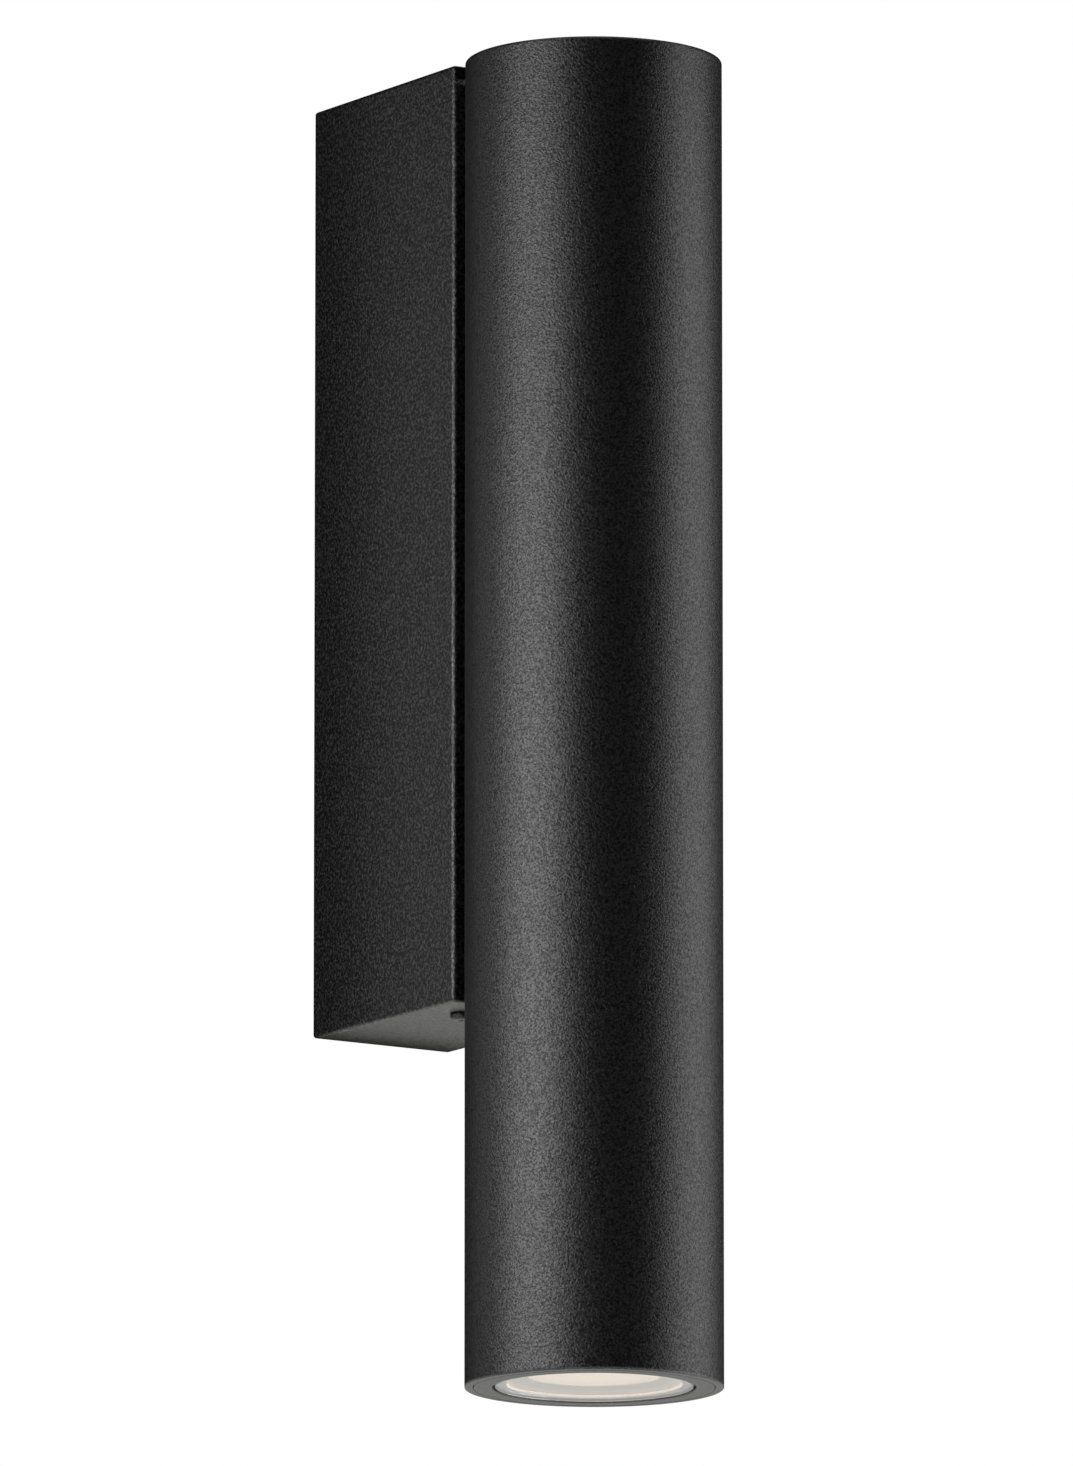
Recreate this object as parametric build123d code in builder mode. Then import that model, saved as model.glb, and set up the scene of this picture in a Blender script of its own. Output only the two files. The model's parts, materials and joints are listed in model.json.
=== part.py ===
from build123d import *
import math
import os

# Tube wall light: a coated aluminium tube with an LED light engine in its lower end, carried by a
# slim wall box that holds the driver and the terminals.
#
# The origin is on the wall, at the centre of the wall box's back. +Z is up, -Y is out from the wall
# and +X is to the right for someone who faces the wall. Every size is in millimetres.

os.makedirs("parts", exist_ok=True)

# ---------------------------------------------------------------- driving dimensions

# Plays
slip = 0.05  # radial play of a screw, a pin or a pressed piece in its bore
thread_play = 0.08  # radial play of the retaining ring's thread in the tube
easy = 0.3  # play between pieces that only lie beside each other

# Tube
tube_diameter = 60.0
tube_wall = 2.0
tube_length = 313.0
tube_edge = 0.3  # rounding of the outer rim at both ends
mouth_chamfer = 0.25  # break of the bore's rim at both ends

# Wall box
box_width = 38.0
box_depth = 62.0
box_height = 223.0
box_wall = 2.0
box_edge = 0.8  # rounding of the outer edges
tube_stand_off = 1.0  # narrowest gap between the box's front and the tube
tube_drop = 3.3  # the tube's top lies this far below the box's top

# Wall gasket and bracket
gasket_thickness = 2.0
plate_thickness = 2.0
plate_side_play = 0.5
bend_radius = 1.5
arm_tip_corner = 4.0
slot_pitch = 180.0  # between the two wall-screw slots
slot_width = 5.0
slot_length = 10.0
fixing_set_back = 13.5  # from the box's front face to its fixing screws
fixing_spread = 8.0  # from the middle plane to each fixing screw
arm_past_screws = 5.5

# Cable entry
cable_drop = 70.0  # the cable entry lies this far below the middle
cable_bore = 4.0
grommet_wall = 4.0
grommet_lip = 1.5
grommet_lip_reach = 2.0
grommet_nose = 4.0
grommet_nose_wall = 1.2

# Driver
driver_width = 30.0
driver_depth = 22.0
driver_length = 74.0
driver_edge = 1.5
driver_drop = 4.0  # the driver's lower end lies this far below the middle
driver_tab_width = 14.0
driver_tab_length = 6.0
driver_tab_thickness = 2.0

# Terminal block
block_drop = 34.0  # the block's top lies this far below the driver's lower end
block_width = 27.0
block_height = 17.0
block_depth = 16.0
block_edge = 0.6
pole_pitch = 8.4
clamp_radius = 2.3
clamp_bore = 1.6
clamp_inset = 1.5
pole_seat = 8.0  # from the bracket plate to the poles' axes
pole_screw_spread = 4.2

# Earth point
earth_drop = 12.0  # below the driver's lower end
tag_thickness = 0.8
tag_radius = 4.0
tag_neck = 3.0
barrel_length = 6.0
barrel_wall = 0.5
barrel_start = 5.0

# Leads
supply_lead_radius = 1.2
led_lead_radius = 0.9
led_lead_spread = 1.6  # from the middle plane to each LED lead in the tube
lead_push_in = 6.5
earth_bend = 5.0
led_exit_side = 11.0  # the driver's output lies this far to the side
led_exit_seat = 11.0  # and this far in front of the bracket plate
lead_rise = 10.0
lead_front_room = 17.0  # from the box's front wall to the leads that come down inside it
lead_bend = 8.0
lead_turn = 5.0  # bend where the leads turn down inside the tube

# Saddle between the box and the tube, and the bar inside the tube
saddle_width = 18.0
saddle_height = 176.0
clamp_bar_width = 16.0
clamp_bar_height = 150.0
clamp_bar_depth = 5.0
tube_screw_pitch = 120.0
bush_radius = 4.9
bush_flange = 1.6
bush_flange_thickness = 1.2

# Round seals of the top cap and the retaining ring
seal_section = 0.5  # radius of their section
seal_groove_side = 0.2

# Top cap
cap_thickness = 3.0
cap_skirt = 7.0
cap_skirt_wall = 4.0
cap_seal_seat = 4.2  # from the cap's face to the seal's middle

# Retaining ring and front glass, from the tube's lower end upwards
ring_face = 4.4  # width of the ring's face, from the tube's bore to the lip
ring_wall = 2.0
ring_lip = 1.45
ring_height = 8.5
ring_seal_seat = 3.4
ring_chamfer = 0.25
glass_recess = 0.25
glass_gap = 0.3  # between the glass's raised face and the ring's lip
glass_play = 0.4  # between the glass's flange and the ring's pocket
glass_chamfer = 0.3
glass_flange = 2.0
front_seal_thickness = 0.3
glass_gasket_thickness = 1.0
glass_gasket_width = 1.7

# Optic
bezel_play = 0.1
bezel_face = 3.4  # width of the flat face seen round the light window
bezel_funnel = 5.0  # how far the funnel narrows to the diffuser
funnel_depth = 2.0
bezel_core_wall = 1.6
diffuser_ledge = 2.2
diffuser_thickness = 1.5
reflector_wall = 0.8
reflector_throat = 7.0
reflector_bulge = 1.2

# Light engine
sink_rim_depth = 3.2
sink_shoulder = 4.7
chamber_depth = 8.0
sink_base = 6.0
fin_height = 36.0
fin_count = 8
fin_pitch = 5.6
fin_thickness = 1.8
fin_inset = 3.6  # from the bore to the fins' outer edges
holder_thickness = 2.8
holder_play = 1.5
holder_window = 7.3
holder_screw_inset = 5.0
board_side = 15.0
board_thickness = 1.0
pad_thickness = 0.3
emitter_radius = 6.0
emitter_height = 0.5
circlip_thickness = 1.2
circlip_width = 4.0
circlip_groove = 0.8
circlip_gap = 12.0

# Screws: shank radius, head radius, head height, key width across flats
m25 = {"shank": 1.25, "head": 2.2, "head_height": 1.5, "key": 1.5}
m3 = {"shank": 1.5, "head": 2.85, "head_height": 1.65, "key": 2.0}
m4 = {"shank": 2.0, "head": 3.8, "head_height": 2.2, "key": 2.5}
key_depth_share = 0.6  # of the head's height
fixing_screw_length = 6.0
tube_screw_length = 12.0
holder_screw_length = 7.0
tip_show = 1.2  # how far the screws in the bracket come through it
washer_thickness = 0.8
washer_radius = 4.5

# ---------------------------------------------------------------- places worked out from them

# Box and tube
box_top = box_height / 2
fixing_y = fixing_set_back - box_depth
tube_radius = tube_diameter / 2
tube_bore = tube_radius - tube_wall
tube_y = -(box_depth + tube_stand_off + tube_radius)
tube_top = box_top - tube_drop
tube_bottom = tube_top - tube_length
tube_axis = Axis((0, tube_y, 0), (0, 0, 1))

# A section through the tube: X is the radius, Y the height above the tube's lower end
tube_section = Plane(origin=(0, tube_y, tube_bottom), x_dir=(1, 0, 0), z_dir=(0, -1, 0))

# Bracket: its plate lies on the wall gasket, its arms just inside the box's roof and floor
plate_back = gasket_thickness
plate_front = gasket_thickness + plate_thickness
bracket_width = box_width - 2 * (box_wall + plate_side_play)
bracket_height = box_height - 2 * (box_wall + easy)
arm_reach = -fixing_y + arm_past_screws

# Cable entry
cable_z = -cable_drop
grommet_groove = cable_bore + grommet_wall
grommet_rim = grommet_groove + grommet_lip_reach

# Driver and terminals, one below the other
driver_seat = plate_front + driver_tab_thickness
driver_bottom = -driver_drop
driver_top = driver_bottom + driver_length
driver_middle = (driver_bottom + driver_top) / 2
driver_tab_holes = (driver_bottom - driver_tab_length / 2, driver_top + driver_tab_length / 2)
block_top = driver_bottom - block_drop
block_middle = block_top - block_height / 2
pole_y = -(plate_front + pole_seat)
poles = (-pole_pitch, 0, pole_pitch)
block_screw_xs = (-pole_pitch / 2, pole_pitch / 2)
earth_z = driver_bottom - earth_drop

# Saddle screws
tube_screw_zs = (-tube_screw_pitch / 2, tube_screw_pitch / 2)
inner_front = box_depth - box_wall  # depth of the box's front wall, inside
bar_inner = tube_bore - clamp_bar_depth

# Round seals: they lie in grooves, close to the tube's bore
seal_radius = tube_bore - thread_play - slip - seal_section
groove_floor = seal_radius - seal_section - slip
groove_half = seal_section + seal_groove_side
cap_radius = tube_bore - slip
cap_floor = tube_length - cap_thickness
cap_seal_level = tube_length - cap_seal_seat

# Stack in the tube's lower end, as radii and as heights above the tube's end
ring_radius = tube_bore - thread_play
lip_radius = tube_bore - ring_face
pocket_radius = tube_bore - ring_wall
glass_radius = pocket_radius - glass_play
glass_face_radius = lip_radius - glass_gap
seal_level = ring_lip
flange_level = seal_level + front_seal_thickness
gasket_level = flange_level + glass_flange
bezel_flange_level = gasket_level + glass_gasket_thickness
gasket_inner = glass_radius - glass_gasket_width
bezel_nose_radius = gasket_inner - easy
window_radius = bezel_nose_radius - bezel_face
aperture_radius = window_radius - bezel_funnel
bezel_level = gasket_level + bezel_play
diffuser_level = bezel_level + funnel_depth
diffuser_radius = aperture_radius + diffuser_ledge
diffuser_pocket = diffuser_radius + slip
reflector_level = diffuser_level + diffuser_thickness
sink_level = ring_height + easy
chamber_level = sink_level + sink_rim_depth
chamber_radius = glass_radius - sink_shoulder
board_level = chamber_level + chamber_depth
sink_top = board_level + sink_base
sink_radius = tube_bore - slip
holder_level = board_level - holder_thickness
holder_radius = chamber_radius - holder_play
holder_screw_x = holder_radius - holder_screw_inset
fin_radius = tube_bore - fin_inset
lead_gap = (fin_count / 2 - 1) * fin_pitch  # the leads rise between the last two fins
lead_y = tube_y + lead_gap


def tube_level(height):
    """The level plane across the tube, at a height above its lower end."""
    return Plane(origin=(0, tube_y, tube_bottom + height))


def button_screw(size, length):
    """A screw along -Z with its head's seat at Z = 0 and a hexagonal socket in the head."""
    with BuildPart() as screw:
        Cylinder(size["shank"], length, align=(Align.CENTER, Align.CENTER, Align.MAX))
        chamfer(screw.edges().group_by(Axis.Z)[0], size["shank"] / 4)
        Cylinder(size["head"], size["head_height"], align=(Align.CENTER, Align.CENTER, Align.MIN))
        fillet(screw.edges().group_by(Axis.Z)[-1], size["head_height"] / 2)
        with BuildSketch(Plane.XY.offset(size["head_height"])):
            RegularPolygon(size["key"] / 2, 6, major_radius=False)
        extrude(amount=-size["head_height"] * key_depth_share, mode=Mode.SUBTRACT)
    return screw.part


# ---------------------------------------------------------------- wall side

# Wall gasket: a foam sheet between the bracket and the wall, inside the box's rim
with BuildPart() as wall_gasket:
    with BuildSketch(Plane.XZ):
        Rectangle(bracket_width, bracket_height)
        with Locations((0, cable_z)):
            Circle(grommet_rim + easy, mode=Mode.SUBTRACT)
        with Locations((0, slot_pitch / 2), (0, -slot_pitch / 2)):
            SlotOverall(slot_length + 2 * easy, slot_width + 2 * easy, rotation=90, mode=Mode.SUBTRACT)
        with Locations(*[(0, z) for z in driver_tab_holes]):
            Circle(m3["shank"] + easy, mode=Mode.SUBTRACT)
        with Locations(*[(x, block_middle) for x in block_screw_xs]):
            Circle(m25["shank"] + easy, mode=Mode.SUBTRACT)
        with Locations((0, earth_z)):
            Circle(m4["shank"] + easy, mode=Mode.SUBTRACT)
    extrude(amount=gasket_thickness)

# Wall bracket: a folded steel strip, a plate with an arm at each end
with BuildPart() as wall_bracket:
    with BuildSketch(Plane.YZ) as fold:
        with Locations((-plate_back, 0)):
            Rectangle(arm_reach - plate_back, bracket_height, align=(Align.MAX, Align.CENTER))
        fillet(fold.vertices().group_by(Axis.X)[-1], bend_radius + plate_thickness)
        with BuildSketch(mode=Mode.PRIVATE) as hollow:
            with Locations((-plate_front, 0)):
                Rectangle(arm_reach, bracket_height - 2 * plate_thickness, align=(Align.MAX, Align.CENTER))
            fillet(hollow.vertices().group_by(Axis.X)[-1], bend_radius)
        add(hollow.sketch, mode=Mode.SUBTRACT)
    extrude(amount=bracket_width / 2, both=True)
    fillet(wall_bracket.edges().filter_by(Axis.Z).group_by(Axis.Y)[0], arm_tip_corner)
    with BuildSketch(Plane.XZ.offset(plate_back)):
        with Locations((0, slot_pitch / 2), (0, -slot_pitch / 2)):
            SlotOverall(slot_length, slot_width, rotation=90)
        with Locations((0, cable_z)):
            Circle(grommet_groove + slip)
        with Locations(*[(0, z) for z in driver_tab_holes]):
            Circle(m3["shank"] + slip)
        with Locations(*[(x, block_middle) for x in block_screw_xs]):
            Circle(m25["shank"] + slip)
        with Locations((0, earth_z)):
            Circle(m4["shank"] + slip)
    extrude(amount=plate_thickness, mode=Mode.SUBTRACT)
    with BuildSketch(Plane.XY):
        with Locations((fixing_spread, fixing_y), (-fixing_spread, fixing_y)):
            Circle(m3["shank"] + slip)
    extrude(amount=bracket_height / 2, both=True, mode=Mode.SUBTRACT)

# Cable grommet: a rubber bush in the bracket, its nose towards the terminals
grommet_section = Plane(origin=(0, -plate_back, cable_z), x_dir=(1, 0, 0), z_dir=(0, 0, 1))
with BuildPart() as cable_grommet:
    with BuildSketch(grommet_section):
        with BuildLine():
            Polyline(
                (cable_bore, grommet_lip),
                (grommet_rim, grommet_lip),
                (grommet_rim, 0),
                (grommet_groove, 0),
                (grommet_groove, -plate_thickness),
                (grommet_rim, -plate_thickness),
                (grommet_rim, -plate_thickness - grommet_lip),
                (cable_bore + grommet_nose_wall, -plate_thickness - grommet_lip - grommet_nose),
                (cable_bore, -plate_thickness - grommet_lip - grommet_nose),
                close=True,
            )
        make_face()
    revolve(axis=Axis((0, 0, cable_z), (0, 1, 0)))

# ---------------------------------------------------------------- wall box

with BuildPart() as wall_box:
    with BuildSketch(Plane.XZ):
        Rectangle(box_width, box_height)
    extrude(amount=box_depth)
    fillet(wall_box.edges(), box_edge)
    with BuildSketch(Plane.XZ):
        Rectangle(box_width - 2 * box_wall, box_height - 2 * box_wall)
    extrude(amount=inner_front, mode=Mode.SUBTRACT)
    with BuildSketch(Plane.XZ.offset(inner_front)):
        with Locations(*[(0, z) for z in tube_screw_zs]):
            Circle(m4["shank"] + easy)
        Circle(bush_radius + slip)
    extrude(amount=box_wall, mode=Mode.SUBTRACT)
    with BuildSketch(Plane.XY):
        with Locations((fixing_spread, fixing_y), (-fixing_spread, fixing_y)):
            Circle(m3["shank"] + easy)
    extrude(amount=box_height / 2, both=True, mode=Mode.SUBTRACT)

# Screws that hold the box to the bracket's arms, two up through the floor and two down
# through the roof, so that the light can be mounted either way up
fixing_screw = button_screw(m3, fixing_screw_length)
with BuildPart() as box_fixing_screws:
    for side in (-1, 1):
        for end in (-1, 1):
            with Locations(Plane(origin=(side * fixing_spread, fixing_y, end * box_top), z_dir=(0, 0, end))):
                add(fixing_screw)

# ---------------------------------------------------------------- driver

with BuildPart() as led_driver:
    with BuildSketch(Plane.XZ.offset(plate_front)):
        with Locations((0, driver_middle)):
            Rectangle(driver_width, driver_length)
    extrude(amount=driver_depth)
    fillet(led_driver.edges().group_by(Axis.Y)[0] + led_driver.edges().filter_by(Axis.Y), driver_edge)
    with BuildSketch(Plane.XZ.offset(plate_front)):
        with Locations((0, driver_middle)):
            Rectangle(driver_tab_width, driver_length + 2 * driver_tab_length)
    extrude(amount=driver_tab_thickness)
    with BuildSketch(Plane.XZ.offset(plate_front)):
        with Locations(*[(0, z) for z in driver_tab_holes]):
            Circle(m3["shank"] + easy)
    extrude(amount=driver_tab_thickness, mode=Mode.SUBTRACT)

driver_screw = button_screw(m3, driver_tab_thickness + plate_thickness + tip_show)
with BuildPart() as driver_screws:
    for z in driver_tab_holes:
        with Locations(Plane(origin=(0, -driver_seat, z), z_dir=(0, -1, 0))):
            add(driver_screw)

# ---------------------------------------------------------------- terminals

# Block: three bores for the clamps, a screw well over each end of every clamp, and two
# counterbored holes between the poles for the screws that hold the block
with BuildPart() as terminal_block:
    with BuildSketch(Plane.XZ.offset(plate_front)):
        with Locations((0, block_middle)):
            Rectangle(block_width, block_height)
    extrude(amount=block_depth)
    fillet(terminal_block.edges().group_by(Axis.Y)[0], block_edge)
    with BuildSketch(Plane.XY.offset(block_top)):
        with Locations(*[(x, pole_y) for x in poles]):
            Circle(clamp_radius + slip)
    extrude(amount=-block_height, mode=Mode.SUBTRACT)
    with BuildSketch(Plane.XZ.offset(-pole_y)):
        for x in poles:
            with Locations((x, block_middle - pole_screw_spread), (x, block_middle + pole_screw_spread)):
                Circle(m25["head"] + slip)
    extrude(amount=block_depth - pole_seat, mode=Mode.SUBTRACT)
    with BuildSketch(Plane.XZ.offset(plate_front)):
        with Locations(*[(x, block_middle) for x in block_screw_xs]):
            Circle(m25["shank"] + slip)
    extrude(amount=block_depth, mode=Mode.SUBTRACT)

# Brass clamps: tubes with a tapped hole at each end
with BuildPart() as terminal_clamps:
    with BuildSketch(Plane.XY.offset(block_top - clamp_inset)):
        with Locations(*[(x, pole_y) for x in poles]):
            Circle(clamp_radius)
            Circle(clamp_bore, mode=Mode.SUBTRACT)
    extrude(amount=-(block_height - 2 * clamp_inset))
    with BuildSketch(Plane.XZ.offset(-pole_y)):
        for x in poles:
            with Locations((x, block_middle - pole_screw_spread), (x, block_middle + pole_screw_spread)):
                Circle(m25["shank"] + slip)
    extrude(amount=clamp_radius, mode=Mode.SUBTRACT)

# Screws in the clamps, their heads in the block's wells
clamp_screw = button_screw(m25, clamp_radius - supply_lead_radius - slip)
with BuildPart() as terminal_screws:
    for x in poles:
        for z in (block_middle - pole_screw_spread, block_middle + pole_screw_spread):
            with Locations(Plane(origin=(x, pole_y - clamp_radius, z), z_dir=(0, -1, 0))):
                add(clamp_screw)

# Screws that hold the block to the bracket
block_screw = button_screw(m25, block_depth + plate_thickness + tip_show)
with BuildPart() as block_screws:
    for x in block_screw_xs:
        with Locations(Plane(origin=(x, -plate_front - block_depth, block_middle), z_dir=(0, -1, 0))):
            add(block_screw)

# Earth tag: a ring under the earth screw, its barrel crimped on the earth lead
tag_lead_y = -(plate_front + supply_lead_radius + slip + barrel_wall)
barrel_top = earth_z - barrel_start
with BuildPart() as earth_tag:
    with BuildSketch(Plane.XZ.offset(plate_front)):
        with Locations((0, earth_z)):
            Circle(tag_radius)
        with Locations((0, earth_z)):
            Rectangle(tag_neck, barrel_start + barrel_wall, align=(Align.CENTER, Align.MAX))
        with Locations((0, earth_z)):
            Circle(m4["shank"] + slip, mode=Mode.SUBTRACT)
    extrude(amount=tag_thickness)
    with BuildSketch(Plane.XY.offset(barrel_top)):
        with Locations((0, tag_lead_y)):
            Circle(supply_lead_radius + slip + barrel_wall)
    extrude(amount=-barrel_length)
    with BuildSketch(Plane.XY.offset(barrel_top)):
        with Locations((0, tag_lead_y)):
            Circle(supply_lead_radius + slip)
    extrude(amount=-barrel_length, mode=Mode.SUBTRACT)

with BuildPart() as earth_washer:
    with BuildSketch(Plane.XZ.offset(plate_front + tag_thickness)):
        with Locations((0, earth_z)):
            Circle(tag_radius)
            Circle(m4["shank"] + slip, mode=Mode.SUBTRACT)
    extrude(amount=washer_thickness)

earth_seat = plate_front + tag_thickness + washer_thickness
earth_shank = button_screw(m4, earth_seat - plate_back + tip_show)
with BuildPart() as earth_screw:
    with Locations(Plane(origin=(0, -earth_seat, earth_z), z_dir=(0, -1, 0))):
        add(earth_shank)

# ---------------------------------------------------------------- leads


def lead(points, bends, radius):
    """A lead along straight runs joined by tangent arcs."""
    with BuildPart() as wire:
        with BuildLine() as route:
            FilletPolyline(*points, radius=bends)
        with BuildSketch(Plane(origin=route.line @ 0, z_dir=route.line % 0)):
            Circle(radius)
        sweep()
    return wire


# Live and neutral leads: from the driver straight down into the outer clamps
supply_leads = {}
for name, x in (("line_lead", poles[0]), ("neutral_lead", poles[-1])):
    with BuildPart() as supply_lead:
        with BuildSketch(Plane.XY.offset(block_top - lead_push_in)):
            with Locations((x, pole_y)):
                Circle(supply_lead_radius)
        extrude(amount=driver_bottom - block_top + lead_push_in)
    supply_leads[name] = supply_lead

# Earth lead: from the middle clamp up and back into the tag's barrel
barrel_end = barrel_top - barrel_length
earth_rise = (barrel_end + block_top) / 2
earth_shift = (tag_lead_y - pole_y) / 2
earth_lead = lead(
    [
        (0, pole_y, block_top - lead_push_in),
        (0, pole_y, earth_rise - earth_shift),
        (0, tag_lead_y, earth_rise + earth_shift),
        (0, tag_lead_y, barrel_top - slip),
    ],
    earth_bend,
    supply_lead_radius,
)

# LED leads: from the driver's upper end over its front, down inside the box, through the bush
# into the tube, and down between two fins to the back of the LED holder
led_leads = {}
lead_drop_y = lead_front_room - inner_front
for name, side in (("positive_lead", 1), ("negative_lead", -1)):
    exit_x = led_exit_side + side * led_lead_spread
    exit_y = -(plate_front + led_exit_seat)
    tube_x = side * led_lead_spread
    led_leads[name] = lead(
        [
            (exit_x, exit_y, driver_top),
            (exit_x, exit_y, driver_top + lead_rise),
            (exit_x, lead_drop_y, driver_top + lead_rise),
            (tube_x, lead_drop_y, 0),
            (tube_x, lead_y, 0),
            (tube_x, lead_y, tube_bottom + board_level),
        ],
        [lead_bend, lead_bend, lead_bend, lead_turn],
        led_lead_radius,
    )

# ---------------------------------------------------------------- tube

# Tube, with a groove for the circlip, and holes for its screws and the bush in its back
with BuildPart() as tube_body:
    with BuildSketch(tube_section) as wall:
        with Locations((tube_bore, 0)):
            Rectangle(tube_wall, tube_length, align=(Align.MIN, Align.MIN))
        fillet(wall.vertices().group_by(Axis.X)[-1], tube_edge)
        chamfer(wall.vertices().group_by(Axis.X)[0], mouth_chamfer)
        with Locations((tube_bore, sink_top)):
            Rectangle(
                circlip_groove,
                circlip_thickness + 2 * slip,
                align=(Align.MIN, Align.MIN),
                mode=Mode.SUBTRACT,
            )
    revolve(axis=tube_axis)
    with BuildSketch(Plane.XZ.offset(box_depth)):
        with Locations(*[(0, z) for z in tube_screw_zs]):
            Circle(m4["shank"] + easy)
        Circle(bush_radius + slip)
    extrude(amount=tube_stand_off + tube_radius, mode=Mode.SUBTRACT)

# Saddle gasket: flat on the box, hollow on the tube's side
saddle_depth = tube_stand_off + tube_radius - math.sqrt(tube_radius**2 - (saddle_width / 2) ** 2)
with BuildPart() as saddle_gasket:
    with BuildSketch(Plane.XZ.offset(box_depth)):
        Rectangle(saddle_width, saddle_height)
        with Locations(*[(0, z) for z in tube_screw_zs]):
            Circle(m4["shank"] + easy, mode=Mode.SUBTRACT)
        Circle(bush_radius + slip, mode=Mode.SUBTRACT)
    extrude(amount=saddle_depth)
    with BuildSketch(Plane.XY.offset(-saddle_height / 2)):
        with Locations((0, tube_y)):
            Circle(tube_radius + slip)
    extrude(amount=saddle_height, mode=Mode.SUBTRACT)

# Clamp bar: a tapped bar inside the tube, its back rounded to the bore
with BuildPart() as clamp_bar:
    with BuildSketch(Plane.XY.offset(-clamp_bar_height / 2)):
        with Locations((0, tube_y + bar_inner)):
            Rectangle(clamp_bar_width, clamp_bar_depth, align=(Align.CENTER, Align.MIN))
        with Locations((0, tube_y)):
            Circle(tube_bore - slip, mode=Mode.INTERSECT)
    extrude(amount=clamp_bar_height)
    with BuildSketch(Plane.XZ.offset(box_depth)):
        with Locations(*[(0, z) for z in tube_screw_zs]):
            Circle(m4["shank"] + slip)
        Circle(bush_radius + slip)
    extrude(amount=tube_stand_off + tube_radius, mode=Mode.SUBTRACT)

with BuildPart() as tube_screw_washers:
    with BuildSketch(Plane.XZ.offset(inner_front - washer_thickness)):
        with Locations(*[(0, z) for z in tube_screw_zs]):
            Circle(washer_radius)
            Circle(m4["shank"] + slip, mode=Mode.SUBTRACT)
    extrude(amount=washer_thickness)

tube_screw = button_screw(m4, tube_screw_length)
with BuildPart() as tube_screws:
    for z in tube_screw_zs:
        with Locations(Plane(origin=(0, washer_thickness - inner_front, z), z_dir=(0, 1, 0))):
            add(tube_screw)

# Lead bush: a rubber bush from the box through the saddle and the tube to the clamp bar's face
bush_length = -(tube_y + bar_inner) - inner_front
with BuildPart() as lead_bush:
    with BuildSketch(Plane.XZ.offset(inner_front - bush_flange_thickness)):
        Circle(bush_radius + bush_flange)
    extrude(amount=bush_flange_thickness)
    with BuildSketch(Plane.XZ.offset(inner_front)):
        Circle(bush_radius)
    extrude(amount=bush_length)
    with BuildSketch(Plane.XZ.offset(inner_front - bush_flange_thickness)):
        with Locations((led_lead_spread, 0), (-led_lead_spread, 0)):
            Circle(led_lead_radius + slip)
    extrude(amount=bush_flange_thickness + bush_length, mode=Mode.SUBTRACT)

# Top cap: a turned lid with a skirt, pressed into the tube
with BuildPart() as top_cap:
    with BuildSketch(tube_section):
        with BuildLine():
            Polyline(
                (0, tube_length),
                (cap_radius - ring_chamfer, tube_length),
                (cap_radius, tube_length - ring_chamfer),
                (cap_radius, cap_seal_level + groove_half),
                (groove_floor, cap_seal_level + groove_half),
                (groove_floor, cap_seal_level - groove_half),
                (cap_radius, cap_seal_level - groove_half),
                (cap_radius, cap_floor - cap_skirt),
                (cap_radius - cap_skirt_wall, cap_floor - cap_skirt),
                (cap_radius - cap_skirt_wall, cap_floor),
                (0, cap_floor),
                close=True,
            )
        make_face()
    revolve(axis=tube_axis)

with BuildPart() as top_cap_seal:
    with BuildSketch(tube_section):
        with Locations((seal_radius, cap_seal_level)):
            Circle(seal_section)
    revolve(axis=tube_axis)

# ---------------------------------------------------------------- light engine

# Heat sink: a rim round the optic, a chamber for the LED, a base and straight fins
with BuildPart() as heat_sink:
    with BuildSketch(tube_section):
        with BuildLine():
            Polyline(
                (glass_radius + slip, sink_level),
                (sink_radius, sink_level),
                (sink_radius, sink_top),
                (0, sink_top),
                (0, board_level),
                (chamber_radius, board_level),
                (chamber_radius, chamber_level),
                (glass_radius + slip, chamber_level),
                close=True,
            )
        make_face()
    revolve(axis=tube_axis)
    with BuildSketch(tube_level(sink_top)):
        with GridLocations(0, fin_pitch, 1, fin_count):
            Rectangle(2 * fin_radius, fin_thickness)
        Circle(fin_radius, mode=Mode.INTERSECT)
    extrude(amount=fin_height)
    with BuildSketch(tube_level(board_level)):
        with Locations((led_lead_spread, lead_gap), (-led_lead_spread, lead_gap)):
            Circle(led_lead_radius + easy)
    extrude(amount=sink_base, mode=Mode.SUBTRACT)
    with BuildSketch(tube_level(board_level)):
        with Locations((holder_screw_x, 0), (-holder_screw_x, 0)):
            Circle(m3["shank"] + slip)
    extrude(amount=holder_screw_length - holder_thickness + easy, mode=Mode.SUBTRACT)

# Circlip: an open ring in the tube's groove, which stops the heat sink
with BuildPart() as tube_circlip:
    with BuildSketch(tube_level(sink_top + slip)):
        Circle(tube_bore + circlip_groove - slip)
        Circle(tube_bore + circlip_groove - slip - circlip_width, mode=Mode.SUBTRACT)
        with Locations((0, -tube_bore)):
            Rectangle(circlip_gap, 2 * circlip_width, mode=Mode.SUBTRACT)
    extrude(amount=circlip_thickness)

with BuildPart() as thermal_pad:
    with BuildSketch(tube_level(board_level - pad_thickness)):
        Rectangle(board_side, board_side)
    extrude(amount=pad_thickness)

board_face = board_level - pad_thickness - board_thickness
with BuildPart() as led_board:
    with BuildSketch(tube_level(board_face)):
        Rectangle(board_side, board_side)
    extrude(amount=board_thickness)

with BuildPart() as led_emitter:
    with BuildSketch(tube_level(board_face)):
        Circle(emitter_radius)
    extrude(amount=-emitter_height)
    fillet(led_emitter.edges().group_by(Axis.Z)[0], emitter_height / 2)

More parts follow.
